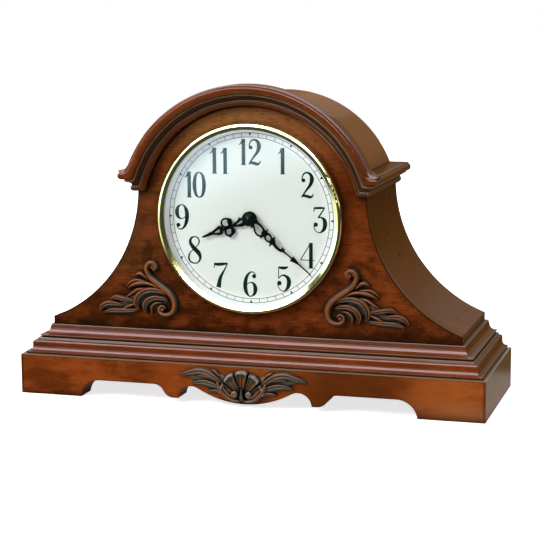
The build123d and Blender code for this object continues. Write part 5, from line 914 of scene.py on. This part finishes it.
def make_glaze_and_corner_shade():
    """Dark glaze along edges, and glaze with painted shade in corners: recess is how closed the place is
    outside within reach, and paints the shade that falls in corners and recesses; edge is how near the wood
    ends inside; and the normal is rounded over at edges."""
    group, ins, outs = new_group(
        "glaze_and_corner_shade", [("Reach", "Float", 0.006), ("Round", "Float", 0.0006), ("Width", "Float", 0.002)],
        [("Shaded Recess", "Float"), ("Edge", "Float"), ("Normal", "Vector")])
    shaded_recess = openness(group, ins["Reach"]).ease(0.95, 0.35)
    edge = openness(group, ins["Width"], inside=True).ease(0.92, 0.6)
    rounded = Signal(add(group, "Bevel", {"Radius": ins["Round"]}, samples=BEVEL_SAMPLES))
    feed(outs, {"Shaded Recess": shaded_recess, "Edge": edge, "Normal": rounded})
    return group


def make_handling_marks():
    """Handling marks: broad smudges and fine specks, each of nought to one."""
    group, ins, outs = new_group("handling_marks", [("Vector", "Vector", None), ("Size", "Float", 60.0)],
                                 [("Smudge", "Float"), ("Speck", "Float")])
    place = ins["Vector"]
    smudge = place.noise(ins["Size"], 4, 0.6).ease(0.3, 0.75)
    feed(outs, {"Smudge": smudge, "Speck": place.noise(2600, 2, 0.5)})
    return group


WOOD_FIGURE = make_wood_figure()
GLAZE_AND_CORNER_SHADE = make_glaze_and_corner_shade()
HANDLING_MARKS = make_handling_marks()


def figured(along, shades, blotch, streak):
    """Colour, tone and height of wood figure in three shades, with the grain along the place's first
    axis."""
    dark, middle, light = shades
    feeds = {"Vector": along, "Dark": dark, "Middle": middle, "Light": light, "Blotch": blotch,
             "Streak": streak}
    return signals(add(along.tree, "Group", feeds, node_tree=WOOD_FIGURE), "Color", "Tone", "Height")


def glazed_and_shaded(tree, reach, rounding, width=0.002):
    """Recess with its painted shade, edge and rounded normal of the glaze and corner shade."""
    feeds = {"Reach": reach, "Round": rounding, "Width": width}
    return signals(add(tree, "Group", feeds, node_tree=GLAZE_AND_CORNER_SHADE), "Shaded Recess", "Edge", "Normal")


def handled(place, size):
    """Smudge and speck of the handling marks."""
    made = add(place.tree, "Group", {"Vector": place, "Size": size}, node_tree=HANDLING_MARKS)
    return signals(made, "Smudge", "Speck")


def new_material(name, constants):
    """A material with one principled shader; constants are set on the shader's own sockets."""
    material = bpy.data.materials.new(name)
    material.use_nodes = True
    shader = material.node_tree.nodes["Principled BSDF"]
    feed(shader, constants)
    return material, material.node_tree, shader


def bump(shader, height, strength, distance=0.0002, **normal):
    """Gives the shader a fine relief from a height, over a rounded normal where there is one."""
    feeds = {"Strength": strength, "Distance": distance, "Height": height, **normal}
    feed(shader, {"Normal": Signal(add(shader.id_data, "Bump", feeds))})


def cherry(name, grain, shades, polish, figure, glaze, reach, toning=None, glaze_and_shade_colour=DARK_GLAZE_AND_SHADE):
    """Toned cherry under a thin polish: figure along the grain, dark glaze on edges, and glaze with painted
    shade in corners. The toning may change the colour and polish before the glaze and painted shade go on,
    and says where they are wiped off."""
    material, tree, shader = new_material(
        name, {"Coat Weight": polish, "Coat Roughness": 0.1, "Coat IOR": 1.5, "Specular IOR Level": 0.0})
    place = object_place(tree)
    along = place.mapped(Rotation=GRAIN_TURN[grain])
    colour, tone, height = figured(along, shades, *figure)
    shaded_recess, edge, normal = glazed_and_shaded(tree, reach, 0.0005, 0.0022)
    glaze_and_shade_in_corners, on_edges = glaze
    # Glaze and painted shade in corners, and glaze along edges.
    corner = (shaded_recess * glaze_and_shade_in_corners).most(edge * on_edges)
    if toning:
        colour, wiped = toning(shader, place, along, colour, polish)
        corner = corner * (1.0 - wiped)
    rough = tone.ease(0.2, 0.8, 0.52, 0.38)
    feed(shader, {"Base Color": tint(corner, colour, glaze_and_shade_colour), "Roughness": rough})
    bump(shader, height, 0.03, Normal=normal)
    return material


def dimmed_upwards(height, colour):
    """Side wood in painted shade, darker towards the top under the cornice."""
    return tint(height.ease(0.10, 0.19, 0.0, 0.6), colour, SIDE_SHADOW)


def board_toning(shader, place, along, colour, polish):
    """The front board's toning with painted light and shade: a painted sheen paler over the dial, darker
    towards its rim, painted shade at the upper left, redder to the right, dark clouds below the arch, fine
    flecks, a dark low right corner, darker along its foot, a painted shadow line under the arch, and side
    wood in painted shade towards the top on its edge."""
    x, y, z = place.split()
    # Painted sheen, paler over the dial.
    colour = tint(z.ease(0.20, 0.27, 0.0, 0.75), colour, PAINTED_SHEEN_OVER_DIAL)
    rim = openness(place.tree, 0.0105, inside=True).ease(0.98, 0.6)
    colour = tint(rim * along.noise(60, 4, 0.6).ease(0.25, 0.6, 0.15, 0.5), colour, RIM_SHADE)
    # Painted shade at the upper left.
    colour = tint(x.ease(-0.04, -0.13, 0.0, 0.7) * z.ease(0.085, 0.14), colour, PAINTED_SHADE_LEFT)
    colour = tint(x.ease(-0.04, 0.08, 0.0, 0.3), colour, RED_RIGHT)
    cloud = along.noise(30, 6, 0.66, 0.5).ease(0.50, 0.64, 0.0, 0.66)
    colour = tint(cloud * z.ease(0.24, 0.19), colour, SOOT)
    fleck = along.mapped(Scale=(0.2, 1, 1)).noise(620, 3, 0.6).ease(0.5, 0.68, 0.0, 0.5)
    colour = tint(fleck, colour, SOOT)
    colour = tint(x.ease(0.05, 0.09) * z.ease(0.105, 0.065, 0.0, 0.5), colour, DARK_CORNER)
    foot = z - along.noise(55, 5, 0.65) * 0.034 - x.ease(0.05, 0.12, 0.0, 0.005)
    colour = tint(foot.ease(0.055, 0.046, 0.0, 0.66), colour, DARK_GLAZE_AND_SHADE)
    # Painted shadow: a dark line on the board under the arch moulding.
    arch, ear = MM * ARCH_INNER, MM * CORNICE_LOW.z
    line = from_dial_centre(place).ease(arch - 0.0028, arch - 0.0008) * z.ease(ear - 0.003, ear)
    colour = tint(line, colour, DARK_GLAZE_AND_SHADE)
    # The board's edge is side wood, with painted shade towards the top.
    edge = y.ease(MM * BOARD_FACE_Y + 0.0002, MM * BOARD_FACE_Y + 0.0006)
    return tint(edge, colour, dimmed_upwards(z, SIDE_SHADES_AND_SHEEN[1])), 0.0


def apron_toning(shader, place, along, colour, polish):
    """The apron's toning and painted light: a darker cloud right of the shell, painted bounce light in tan
    low at the right end, and a pale top edge, partly worn and partly a painted highlight."""
    x, _, z = place.split()
    aside = (x - 0.10).calc("ABSOLUTE") - along.noise(22, 3, 0.5) * 0.06
    colour = tint(aside.ease(0.06, -0.02, 0.0, 0.84), colour, APRON_CLOUD)
    # Painted bounce light: tan, low at the right end.
    painted_bounce = z.ease(0.026, 0.004) * x.ease(0.13, 0.21)
    colour = tint(painted_bounce * 0.6, colour, APRON_PAINTED_BOUNCE)
    # Pale top edge: wear and a painted highlight.
    top = MM * APRON_TOP
    worn = z.ease(top - 0.0006, top - 0.0003) * z.ease(top + 0.0004, top + 0.0002)
    return tint(worn, colour, PALE_WEAR_AND_HIGHLIGHT), worn


def side_toning(shader, place, along, colour, polish):
    """The side panels' toning: painted shade darker, and a thinner polish, towards the top, with a few dark
    dashes.
    """
    _, _, z = place.split()
    feed(shader, {"Coat Weight": z.ease(0.115, 0.075, 0.3 * polish, polish)})
    dash = along.mapped(Scale=(0.25, 1, 1), Rotation=(0, 0, 0.5)).noise(190, 0, 0.5).ease(0.81, 0.83)
    return tint(dash * 0.75, dimmed_upwards(z, colour), DARK_GLAZE_AND_SHADE), 0.0


def return_toning(shader, place, along, colour, polish):
    """Mouldings that turn from the front to the sides: a rub of one is duller side wood, with its painted
    sheen, and past nought or one it is pale, partly wear and partly a painted highlight."""
    rub_and_highlight = rub_and_highlight_on(place.tree)
    side_colour, _, _ = figured(along, SIDE_SHADES_AND_SHEEN, 0.3, 0.06)
    side = rub_and_highlight.ease(0.0, 1.0)
    feed(shader, {"Coat Weight": rub_and_highlight.ease(0.0, 1.0, 1.0, 0.27) * polish})
    # Pale lines: wear, and painted highlights along the edges
    pale = rub_and_highlight.ease(0.0, -1.0).most(rub_and_highlight.ease(1.0, 2.0))
    return tint(pale, tint(side, colour, side_colour), PALE_WEAR_AND_HIGHLIGHT), pale.most(side * 0.5)


def arch_toning(shader, place, along, colour, polish):
    """The arch's toning: as the other mouldings', with olive glaze and painted shade in the bands under its
    nose, and a darker foot."""
    colour, wiped = return_toning(shader, place, along, colour, polish)
    kept = 1.0 - wiped
    up = from_dial_centre(place) - MM * ARCH_INNER
    # Olive glaze and painted shade in the bands under the nose.
    band = up.ease(0.0028, 0.0036) * up.ease(0.0112, 0.0102, 0.0, 0.66)
    colour = tint(band * kept, colour, OLIVE_GLAZE_AND_SHADE)
    foot = up.ease(0.0034, 0.0026, 0.0, 0.5)
    return tint(foot * kept, colour, FRONT_SHADES[0]), wiped


def plain_board(name, grain):
    """Unpolished stained back wood: straight figure, dull, and painted shade a little darker in corners."""
    material, tree, shader = new_material(name, {"Specular IOR Level": 0.2})
    along = object_place(tree).mapped(Rotation=GRAIN_TURN[grain])
    colour, tone, height = figured(along, BACK_SHADES, 0.5, 0.75)
    shaded_recess, _, normal = glazed_and_shaded(tree, 0.008, 0.0004)
    rough = tone.ease(0.2, 0.8, 0.72, 0.6)
    # Painted shade in corners.
    feed(shader, {"Base Color": tint(shaded_recess * 0.6, colour, BACK_CORNER_SHADE), "Roughness": rough})
    bump(shader, height, 0.25, 0.0003, Normal=normal)
    return material


def antique_carving():
    """Carved work in antique finish: pewter brown, rubbed through to orange brown on the broad faces, black
    patina and painted shade in the hollows, and a pale painted highlight where the rub is below nought."""
    material, tree, shader = new_material(
        "antique_carving", {"Coat Weight": 0.12, "Coat Roughness": 0.13, "Specular IOR Level": 0.05})
    place = object_place(tree)
    smudge, speck = handled(place, 110.0)
    shaded_recess, _, _ = glazed_and_shaded(tree, 0.0060, 0.0003)
    rub_and_highlight = rub_and_highlight_on(tree)
    _, _, z = place.split()
    pewter = tint(z.ease(0.045, 0.065), LOW_PEWTER, HIGH_PEWTER)
    worn = rub_and_highlight * smudge.ease(0.0, 0.6, 0.6, 1.0)
    colour = tint(worn.ease(0.3, 0.8), pewter, RUBBED_ORANGE)
    # Painted highlight, pale, on rolled lips.
    colour = tint(rub_and_highlight.ease(-0.1, -0.8), colour, PAINTED_LIP_HIGHLIGHT)
    # Black patina and painted shade in the hollows.
    hollow = shaded_recess.calc("MULTIPLY", rub_and_highlight.ease(0.3, 1.0, 1.4, 0.6), clamp=True)
    colour = tint(hollow, colour, HOLLOW_PATINA_AND_SHADE)
    feed(shader, {"Base Color": colour, "Roughness": smudge.ease(0, 1, 0.5, 0.36)})
    bump(shader, speck, 0.25, 0.0003)
    return material


def metal(name, colour, tarnish, low, high, painted=None):
    """Metal with handling smudges in its polish and a slight tarnish. Where painted gives one, it is
    white paint."""
    material, tree, shader = new_material(name, {"Metallic": 1.0})
    place = object_place(tree)
    smudge, _ = handled(place, 45.0)
    colour = tint(smudge * 0.35, colour, tarnish)
    rough = smudge.ease(0, 1, low, high)
    if painted:
        paint = painted(place)
        colour = tint(paint, colour, INSIDE_WHITE)
        rough = rough.most(paint * 0.55)
        feed(shader, {"Metallic": 1.0 - paint})
    feed(shader, {"Base Color": colour, "Roughness": rough})
    return material


def inside_bezel(place):
    """One on the bezel's skirt behind the glass, between the glass and the dial."""
    _, y, _ = place.split()
    back, edge = MM * GLASS_BACK_Y, MM * GLASS_EDGE
    return y.ease(back - 0.0003, back) * from_dial_centre(place).ease(edge + 0.0008, edge + 0.0005)


def finish_coat(name, colour, other, rough, size, grain, gloss=0.35, coat=0.0):
    """Moulded or painted surface: a faint change of tone, and a fine moulded texture."""
    material, tree, shader = new_material(
        name, {"Coat Weight": coat, "Coat Roughness": 0.12, "Specular IOR Level": gloss})
    smudge, speck = handled(object_place(tree), size)
    worn = smudge.ease(0, 1, rough, rough + 0.1)
    feed(shader, {"Base Color": tint(smudge, colour, other), "Roughness": worn})
    bump(shader, speck, grain)
    return material


def dial_white():
    """Painted dial: faint smudges, and painted light towards its rim, whiter and cooler where the bezel
    shades it.
    """
    material, tree, shader = new_material("dial_paint", {"Roughness": 0.6, "Specular IOR Level": 0.1})
    place = object_place(tree)
    smudge, speck = handled(place, 25.0)
    colour = tint(smudge, (0.80, 0.82, 0.79, 1), (0.83, 0.85, 0.82, 1))
    # Painted light: whiter and cooler towards the rim.
    rim = from_dial_centre(place).ease(0.066, 0.078)
    feed(shader, {"Base Color": tint(rim, colour, (0.95, 0.96, 0.98, 1))})
    bump(shader, speck, 0.03)
    return material


def clear_glass():
    """Thin clear glass that lets lamp light and bounced light straight through to the dial."""
    material, tree, shader = new_material(
        "clear_glass",
        {"Base Color": (0.97, 0.985, 0.98, 1), "Transmission Weight": 1.0, "Roughness": 0.0, "IOR": 1.3})
    shadow_ray, diffuse_ray = signals(add(tree, "LightPath"), "Is Shadow Ray", "Is Diffuse Ray")
    through = Signal(add(tree, "BsdfTransparent", {"Color": (0.96, 0.975, 0.97, 1)}))
    both = add(tree, "MixShader", {0: shadow_ray.most(diffuse_ray), 1: Signal(shader), 2: through})
    feed(tree.nodes["Material Output"], {"Surface": Signal(both)})
    return material


def speaker_paper():
    """Pressed paper: rings about the speaker's axis."""
    material, tree, shader = new_material("speaker_paper", {"Roughness": 0.85})
    low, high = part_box("speaker_cone")
    place = object_place(tree).mapped(Location=tuple(-(low + high) / 2))
    wave = (place.vector("MULTIPLY", (1, 1, 0)).length() * 2100.0).calc("SINE")
    fibre = place.noise(700)
    feed(shader, {"Base Color": tint(fibre, (0.025, 0.024, 0.022, 1), (0.06, 0.056, 0.05, 1))})
    bump(shader, wave + fibre * 0.6, 0.5, 0.0004)
    return material


def circuit_green():
    """Lacquered board with paler tracks in a square pattern."""
    material, tree, shader = new_material("circuit_green", {"Roughness": 0.35})
    feeds = {"Vector": object_place(tree), "Scale": 420.0}
    cell = Signal(add(tree, "TexVoronoi", feeds, distance="CHEBYCHEV", feature="F1"), "Distance")
    track = cell.ease(0.42, 0.5)
    feed(shader, {"Base Color": tint(track, (0.008, 0.075, 0.026, 1), (0.03, 0.17, 0.06, 1))})
    bump(shader, track, 0.2)
    return material


def cell_wrap():
    """Printed sleeve on the cells: dark slate with one pale band near an end."""
    material, tree, shader = new_material("cell_wrap", {"Roughness": 0.3})
    place = object_place(tree)
    x, _, _ = place.split()
    colour = tint(x.ease(0.0125, 0.0130), (0.03, 0.045, 0.07, 1), (0.42, 0.43, 0.42, 1))
    feed(shader, {"Base Color": tint(place.noise(160) * 0.2, colour, grey(0.1))})
    return material


# Each cherry's grain, shades, polish, figure, glaze with painted shade in corners and glaze on edges, reach
# of the glaze and painted shade, and toning
cherry_along = cherry("cherry_along", "x", APRON_SHADES, 0.10, (1.0, 0.24), (0.9, 0.5), 0.012, apron_toning)
cherry_board = cherry("cherry_board", "x", FRONT_SHADES, 0.10, (1.9, 0.65), (0.9, 0.8), 0.012, board_toning)
cherry_moulding = cherry(
    "cherry_moulding", "x", MOULDING_SHADES, 0.47, (0.6, 0.1), (0.85, 0.0), 0.004, return_toning)
cherry_arch = cherry(
    "cherry_arch", "x", ARCH_SHADES, 0.36, (0.8, 0.12), (0.95, 0.0), 0.010, arch_toning, OLIVE_GLAZE_AND_SHADE)
cherry_end = cherry("cherry_end", "y", END_SHADES_AND_SHEEN, 0.32, (0.3, 0.05), (0.7, 0.7), 0.005, apron_toning)
cherry_roof = cherry("cherry_roof", "y", ROOF_SHADES_AND_LIGHT, 0.06, (0.3, 0.05), (0.7, 0.5), 0.005)
cherry_upright = cherry(
    "cherry_upright", "z", SIDE_SHADES_AND_SHEEN, 0.15, (0.45, 0.06), (0.8, 0.5), 0.006, side_toning)
back_wood = plain_board("back_wood", "z")
base_wood = plain_board("base_wood", "x")
carving_finish = antique_carving()

# Each metal's colour, tarnish, and roughness where it is clean and where it is smudged
BRASS = ((0.86, 0.80, 0.34, 1), (0.78, 0.71, 0.26, 1), 0.11, 0.18)
polished_brass = metal("polished_brass", *BRASS)
bezel_brass = metal("bezel_brass", *BRASS, inside_bezel)
bright_steel = metal("bright_steel", (0.58, 0.58, 0.56, 1), (0.42, 0.42, 0.41, 1), 0.25, 0.4)
magnet_iron = metal("magnet_iron", grey(0.20), grey(0.14), 0.4, 0.55)
glass = clear_glass()
dial_paint = dial_white()

# Each coat's two tones and roughness, the scale of its smudges, its grain, gloss and clear coat
dial_ink = finish_coat(
    "dial_ink", (0.003, 0.020, 0.015, 1), (0.005, 0.028, 0.021, 1), 0.55, size=200.0, grain=0.05, gloss=0.0)
hand_black = finish_coat(
    "hand_black", (0.002, 0.005, 0.004, 1), (0.004, 0.008, 0.006, 1), 0.4, size=200.0, grain=0.03, gloss=0.0)
nut_black = finish_coat(
    "nut_black", (0.002, 0.006, 0.005, 1), (0.004, 0.009, 0.007, 1), 0.4, size=200.0, grain=0.03, gloss=0.0,
    coat=0.10)
black_plastic = finish_coat(
    "black_plastic", (0.014, 0.014, 0.015, 1), (0.022, 0.022, 0.023, 1), 0.5, size=90.0, grain=0.3)
white_plastic = finish_coat(
    "white_plastic", (0.70, 0.69, 0.64, 1), (0.76, 0.75, 0.71, 1), 0.4, size=120.0, grain=0.1)

SLOT_MATERIALS = {
    "cherry_wood": cherry_along, "plain_wood": base_wood, "antique_carving": carving_finish,
    "brass": polished_brass, "glass": glass, "dial_white": dial_paint, "black_hands": hand_black,
    "black_plastic": black_plastic, "white_plastic": white_plastic, "steel": bright_steel,
    "circuit_green": circuit_green(), "cell_wrap": cell_wrap(), "speaker_paper": speaker_paper(),
    "magnet_iron": magnet_iron,
}
NODE_MATERIALS = {
    "front_board": cherry_board, "back_door": back_wood, "back_frame": back_wood, "apron_left": cherry_end,
    "apron_right": cherry_end, "arch_top": cherry_roof, "side_panel_left": cherry_upright,
    "side_panel_right": cherry_upright, "hand_nut": nut_black, "bezel": bezel_brass,
    "crystal_retainer": white_plastic,
}

for name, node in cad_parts.items():
    for place in node.material_slots:
        place.material = NODE_MATERIALS.get(name, SLOT_MATERIALS[place.material.name])


def printed(name, shells):
    """Ink on the dial."""
    piece(name, shells, dial_ink, "case")


def moulded(name, shells, node, material):
    """A run of moulding that stands for a node."""
    piece(name, shells, material, "case", [node], MOULDING_CREASE)


def carving(name, shells, node):
    """Carved work that stands for a node."""
    piece(name, shells, carving_finish, "case", [node])


# Dial print
for hour, digits in HOUR_DIGITS.items():
    printed("numeral_%02d" % hour, [shell for digit, x, z in digits for shell in pen_strokes(digit, x, z)])
track = [circle_line(radius, TRACK_LINE) for radius in (TRACK_OUTER, TRACK_INNER)]
track += [radial_line(minute, TRACK_INNER, TRACK_OUTER, TICK_LINE, TICK_LINE)
          for minute in range(60) if minute % 5]
printed("minute_track", track)
printed("five_minute_marks", [
    radial_line(minute, TRACK_OUTER - FIVE_MARK_LENGTH, TRACK_OUTER, FIVE_MARK_TIP, FIVE_MARK_WIDTH)
    for minute in range(0, 60, 5)])

# Glass and hands
piece("domed_glass", [domed_glass()], glass, "case", ["crystal"])
for node, body, parts in (
        ("hour_hand", "hour_works", HOUR_HAND_STROKES), ("minute_hand", "minute_works", MINUTE_HAND_STROKES)):
    piece("serpentine_" + node, stamped_hand(node, parts), hand_black, body, [node])

# Arch, cornice and base mouldings
moulded("moulded_arch", [arch_run()], "arch_moulding", cherry_arch)
cornice = [ear_run(), return_run()]
for node, run in (("cornice_right", cornice), ("cornice_left", mirrored(cornice))):
    moulded("moulded_" + node, run, node, cherry_arch)
for name in BASE_CORNERS:
    front_run, right_run = base_runs(name)
    for side, run in (("front", [front_run]), ("right", [right_run]), ("left", mirrored([right_run]))):
        node = "%s_%s" % (name, side)
        moulded("moulded_" + node, run, node, cherry_moulding)

# Carvings
scroll = carved(SCROLL_STRIPS, SCROLL_EYES, BOARD_FACE_Y)
carving("carved_scroll_right", scroll, "scroll_carving_right")
carving("carved_scroll_left", mirrored(scroll), "scroll_carving_left")
half_shell = carved(SHELL_STRIPS, SHELL_EYES, APRON_FACE_Y, SHELL_EYE_DIMPLE)
shell = half_shell + mirrored(half_shell)
shell += carved([SHELL_STEM], [], APRON_FACE_Y) + [shell_fan(APRON_FACE_Y)]
shell = [(points + [SHELL_MIDDLE, 0, 0], faces, wear_and_highlight) for points, faces, wear_and_highlight in shell]
carving("carved_shell", shell, "shell_carving")

# Floor, camera, lamps and surroundings, in metres
FLOOR_COLOUR = grey(0.82)
FLOOR_HALF_WIDTH = 2.0
FLOOR_FRONT = -0.7
FLOOR_BACK = 2.6
CAMERA_PLACE = Vector((0.4467471, -1.4822816, 0.3741102))
CAMERA_YAW = math.radians(16.630446)
CAMERA_PITCH = math.radians(9.501152)
CAMERA_ROLL = math.radians(-0.328166)
CAMERA_SENSOR = 36.0
CAMERA_LENS = 111.716
CLOCK_MIDDLE = Vector((0, 0, 0.14))
COOL_LIGHT = (0.97, 0.99, 1.08)
AMBIENT = grey(0.32)
DIM = grey(0.08)
WINDOW_BAND = (2.6, 4.0, 4.8, 1)


def emission(tree, strength):
    """White light of the given strength."""
    return Signal(add(tree, "Emission", {"Color": WHITE, "Strength": strength}))


def floor_paint():
    """Matt white floor. The camera sees it glow up to white away from the clock, and in shiny surfaces it
    is dim, but for a brighter patch near the clock and a white card far to the left."""
    material = bpy.data.materials.new("floor_paint")
    material.use_nodes = True
    tree = material.node_tree
    tree.nodes.clear()
    camera_ray, glossy_ray = signals(add(tree, "LightPath"), "Is Camera Ray", "Is Glossy Ray")
    spot = Signal(add(tree, "NewGeometry"), "Position")
    x, y, _ = spot.split()
    matt = Signal(add(tree, "BsdfDiffuse", {"Color": FLOOR_COLOUR}))
    glow = emission(tree, camera_ray * spot.length().ease(0.25, 0.9, 0.75, 1.0))
    seen = Signal(add(tree, "AddShader", {0: matt, 1: glow}))
    near = y.ease(0.16, 0.10) * y.ease(-0.12, 0.0)
    card = x.ease(-0.35, -0.6) * y.ease(-0.6, -0.5)
    reflected = emission(tree, near * 0.65 + 0.07 + card * 1.2)
    paint = Signal(add(tree, "MixShader", {0: glossy_ray, 1: seen, 2: reflected}))
    add(tree, "OutputMaterial", {"Surface": paint})
    return material


def lay_floor():
    """The floor, one flat face under the clock."""
    mesh = bpy.data.meshes.new("floor")
    corners = [(-FLOOR_HALF_WIDTH, FLOOR_FRONT, 0), (FLOOR_HALF_WIDTH, FLOOR_FRONT, 0),
               (FLOOR_HALF_WIDTH, FLOOR_BACK, 0), (-FLOOR_HALF_WIDTH, FLOOR_BACK, 0)]
    mesh.from_pydata(corners, [], [(0, 1, 2, 3)])
    mesh.materials.append(floor_paint())
    floor = into_scene("floor", mesh)


def set_camera():
    """The photograph's view: turned by the yaw, tipped down by the pitch, then rolled about its line of
    sight."""
    level = math.cos(CAMERA_PITCH)
    ahead = Vector((-math.sin(CAMERA_YAW) * level, math.cos(CAMERA_YAW) * level, -math.sin(CAMERA_PITCH)))
    right = Vector((math.cos(CAMERA_YAW), math.sin(CAMERA_YAW), 0))
    up = right.cross(ahead)
    rolled_right = right * math.cos(CAMERA_ROLL) + up * math.sin(CAMERA_ROLL)
    rolled_up = up * math.cos(CAMERA_ROLL) - right * math.sin(CAMERA_ROLL)
    camera = into_scene("camera", bpy.data.cameras.new("camera"))
    camera.data.sensor_width = CAMERA_SENSOR
    camera.data.lens = CAMERA_LENS
    turn = Matrix((rolled_right, rolled_up, -ahead)).transposed().to_4x4()
    camera.matrix_world = Matrix.Translation(CAMERA_PLACE) @ turn
    bpy.context.scene.camera = camera


def softbox(name, place, width, height, radiance, colour=(1, 1, 1)):
    """A flat lamp facing the clock's middle; its power is pi times its area times its radiance."""
    data = bpy.data.lights.new(name, "AREA")
    data.shape = "RECTANGLE"
    data.size = width
    data.size_y = height
    data.energy = math.pi * width * height * radiance
    data.color = colour
    lamp = into_scene(name, data)
    lamp.location = place
    lamp.rotation_euler = (CLOCK_MIDDLE - Vector(place)).to_track_quat("-Z", "Y").to_euler()
    return lamp


def studio():
    """Surroundings: white to the camera and an even grey as light. Polish and glass mirror a bright cool
    band low in front, slanting up to the right, with a pale ceiling over it and a white backdrop behind
    the clock."""
    world = bpy.data.worlds.new("studio")
    world.use_nodes = True
    tree = world.node_tree
    camera_ray, glossy_ray, glass_ray = signals(
        add(tree, "LightPath"), "Is Camera Ray", "Is Glossy Ray", "Is Transmission Ray")
    x, y, z = Signal(add(tree, "TexCoord"), "Generated").split()
    front = tint((z - (x + 0.28) * 0.4).ease(-0.04, 0.18), grey(0.05), WINDOW_BAND)
    front = tint(z.ease(0.22, 0.30), front, DIM)
    front = tint(z.ease(0.55, 0.75), front, grey(0.9))
    backdrop = tint(z.ease(0.0, 0.2), DIM, WHITE)
    reflected = tint(y.ease(-0.15, 0.25), front, backdrop)
    colour = tint(glossy_ray.most(glass_ray), AMBIENT, reflected)
    feed(tree.nodes["Background"], {"Color": tint(camera_ray, colour, WHITE)})
    return world


lay_floor()
set_camera()

# Each lamp's place, width, height and radiance
softbox("key_above", (-0.95, -0.95, 1.05), 0.8, 0.6, 15.0).visible_glossy = False
softbox("gleam_panel", (-0.3, -1.06, 1.24), 2.6, 1.45, 13.0, COOL_LIGHT).visible_diffuse = False
softbox("fill_above", (0.35, 0.35, 1.5), 1.2, 1.0, 1.6)
softbox("fill_right", (1.7, -0.3, 0.9), 1.4, 1.2, 0.9)
softbox("fill_behind", (-0.7, 1.9, 1.2), 1.8, 1.2, 1.3)
bpy.context.scene.world = studio()
bpy.context.scene.view_settings.view_transform = "Standard"
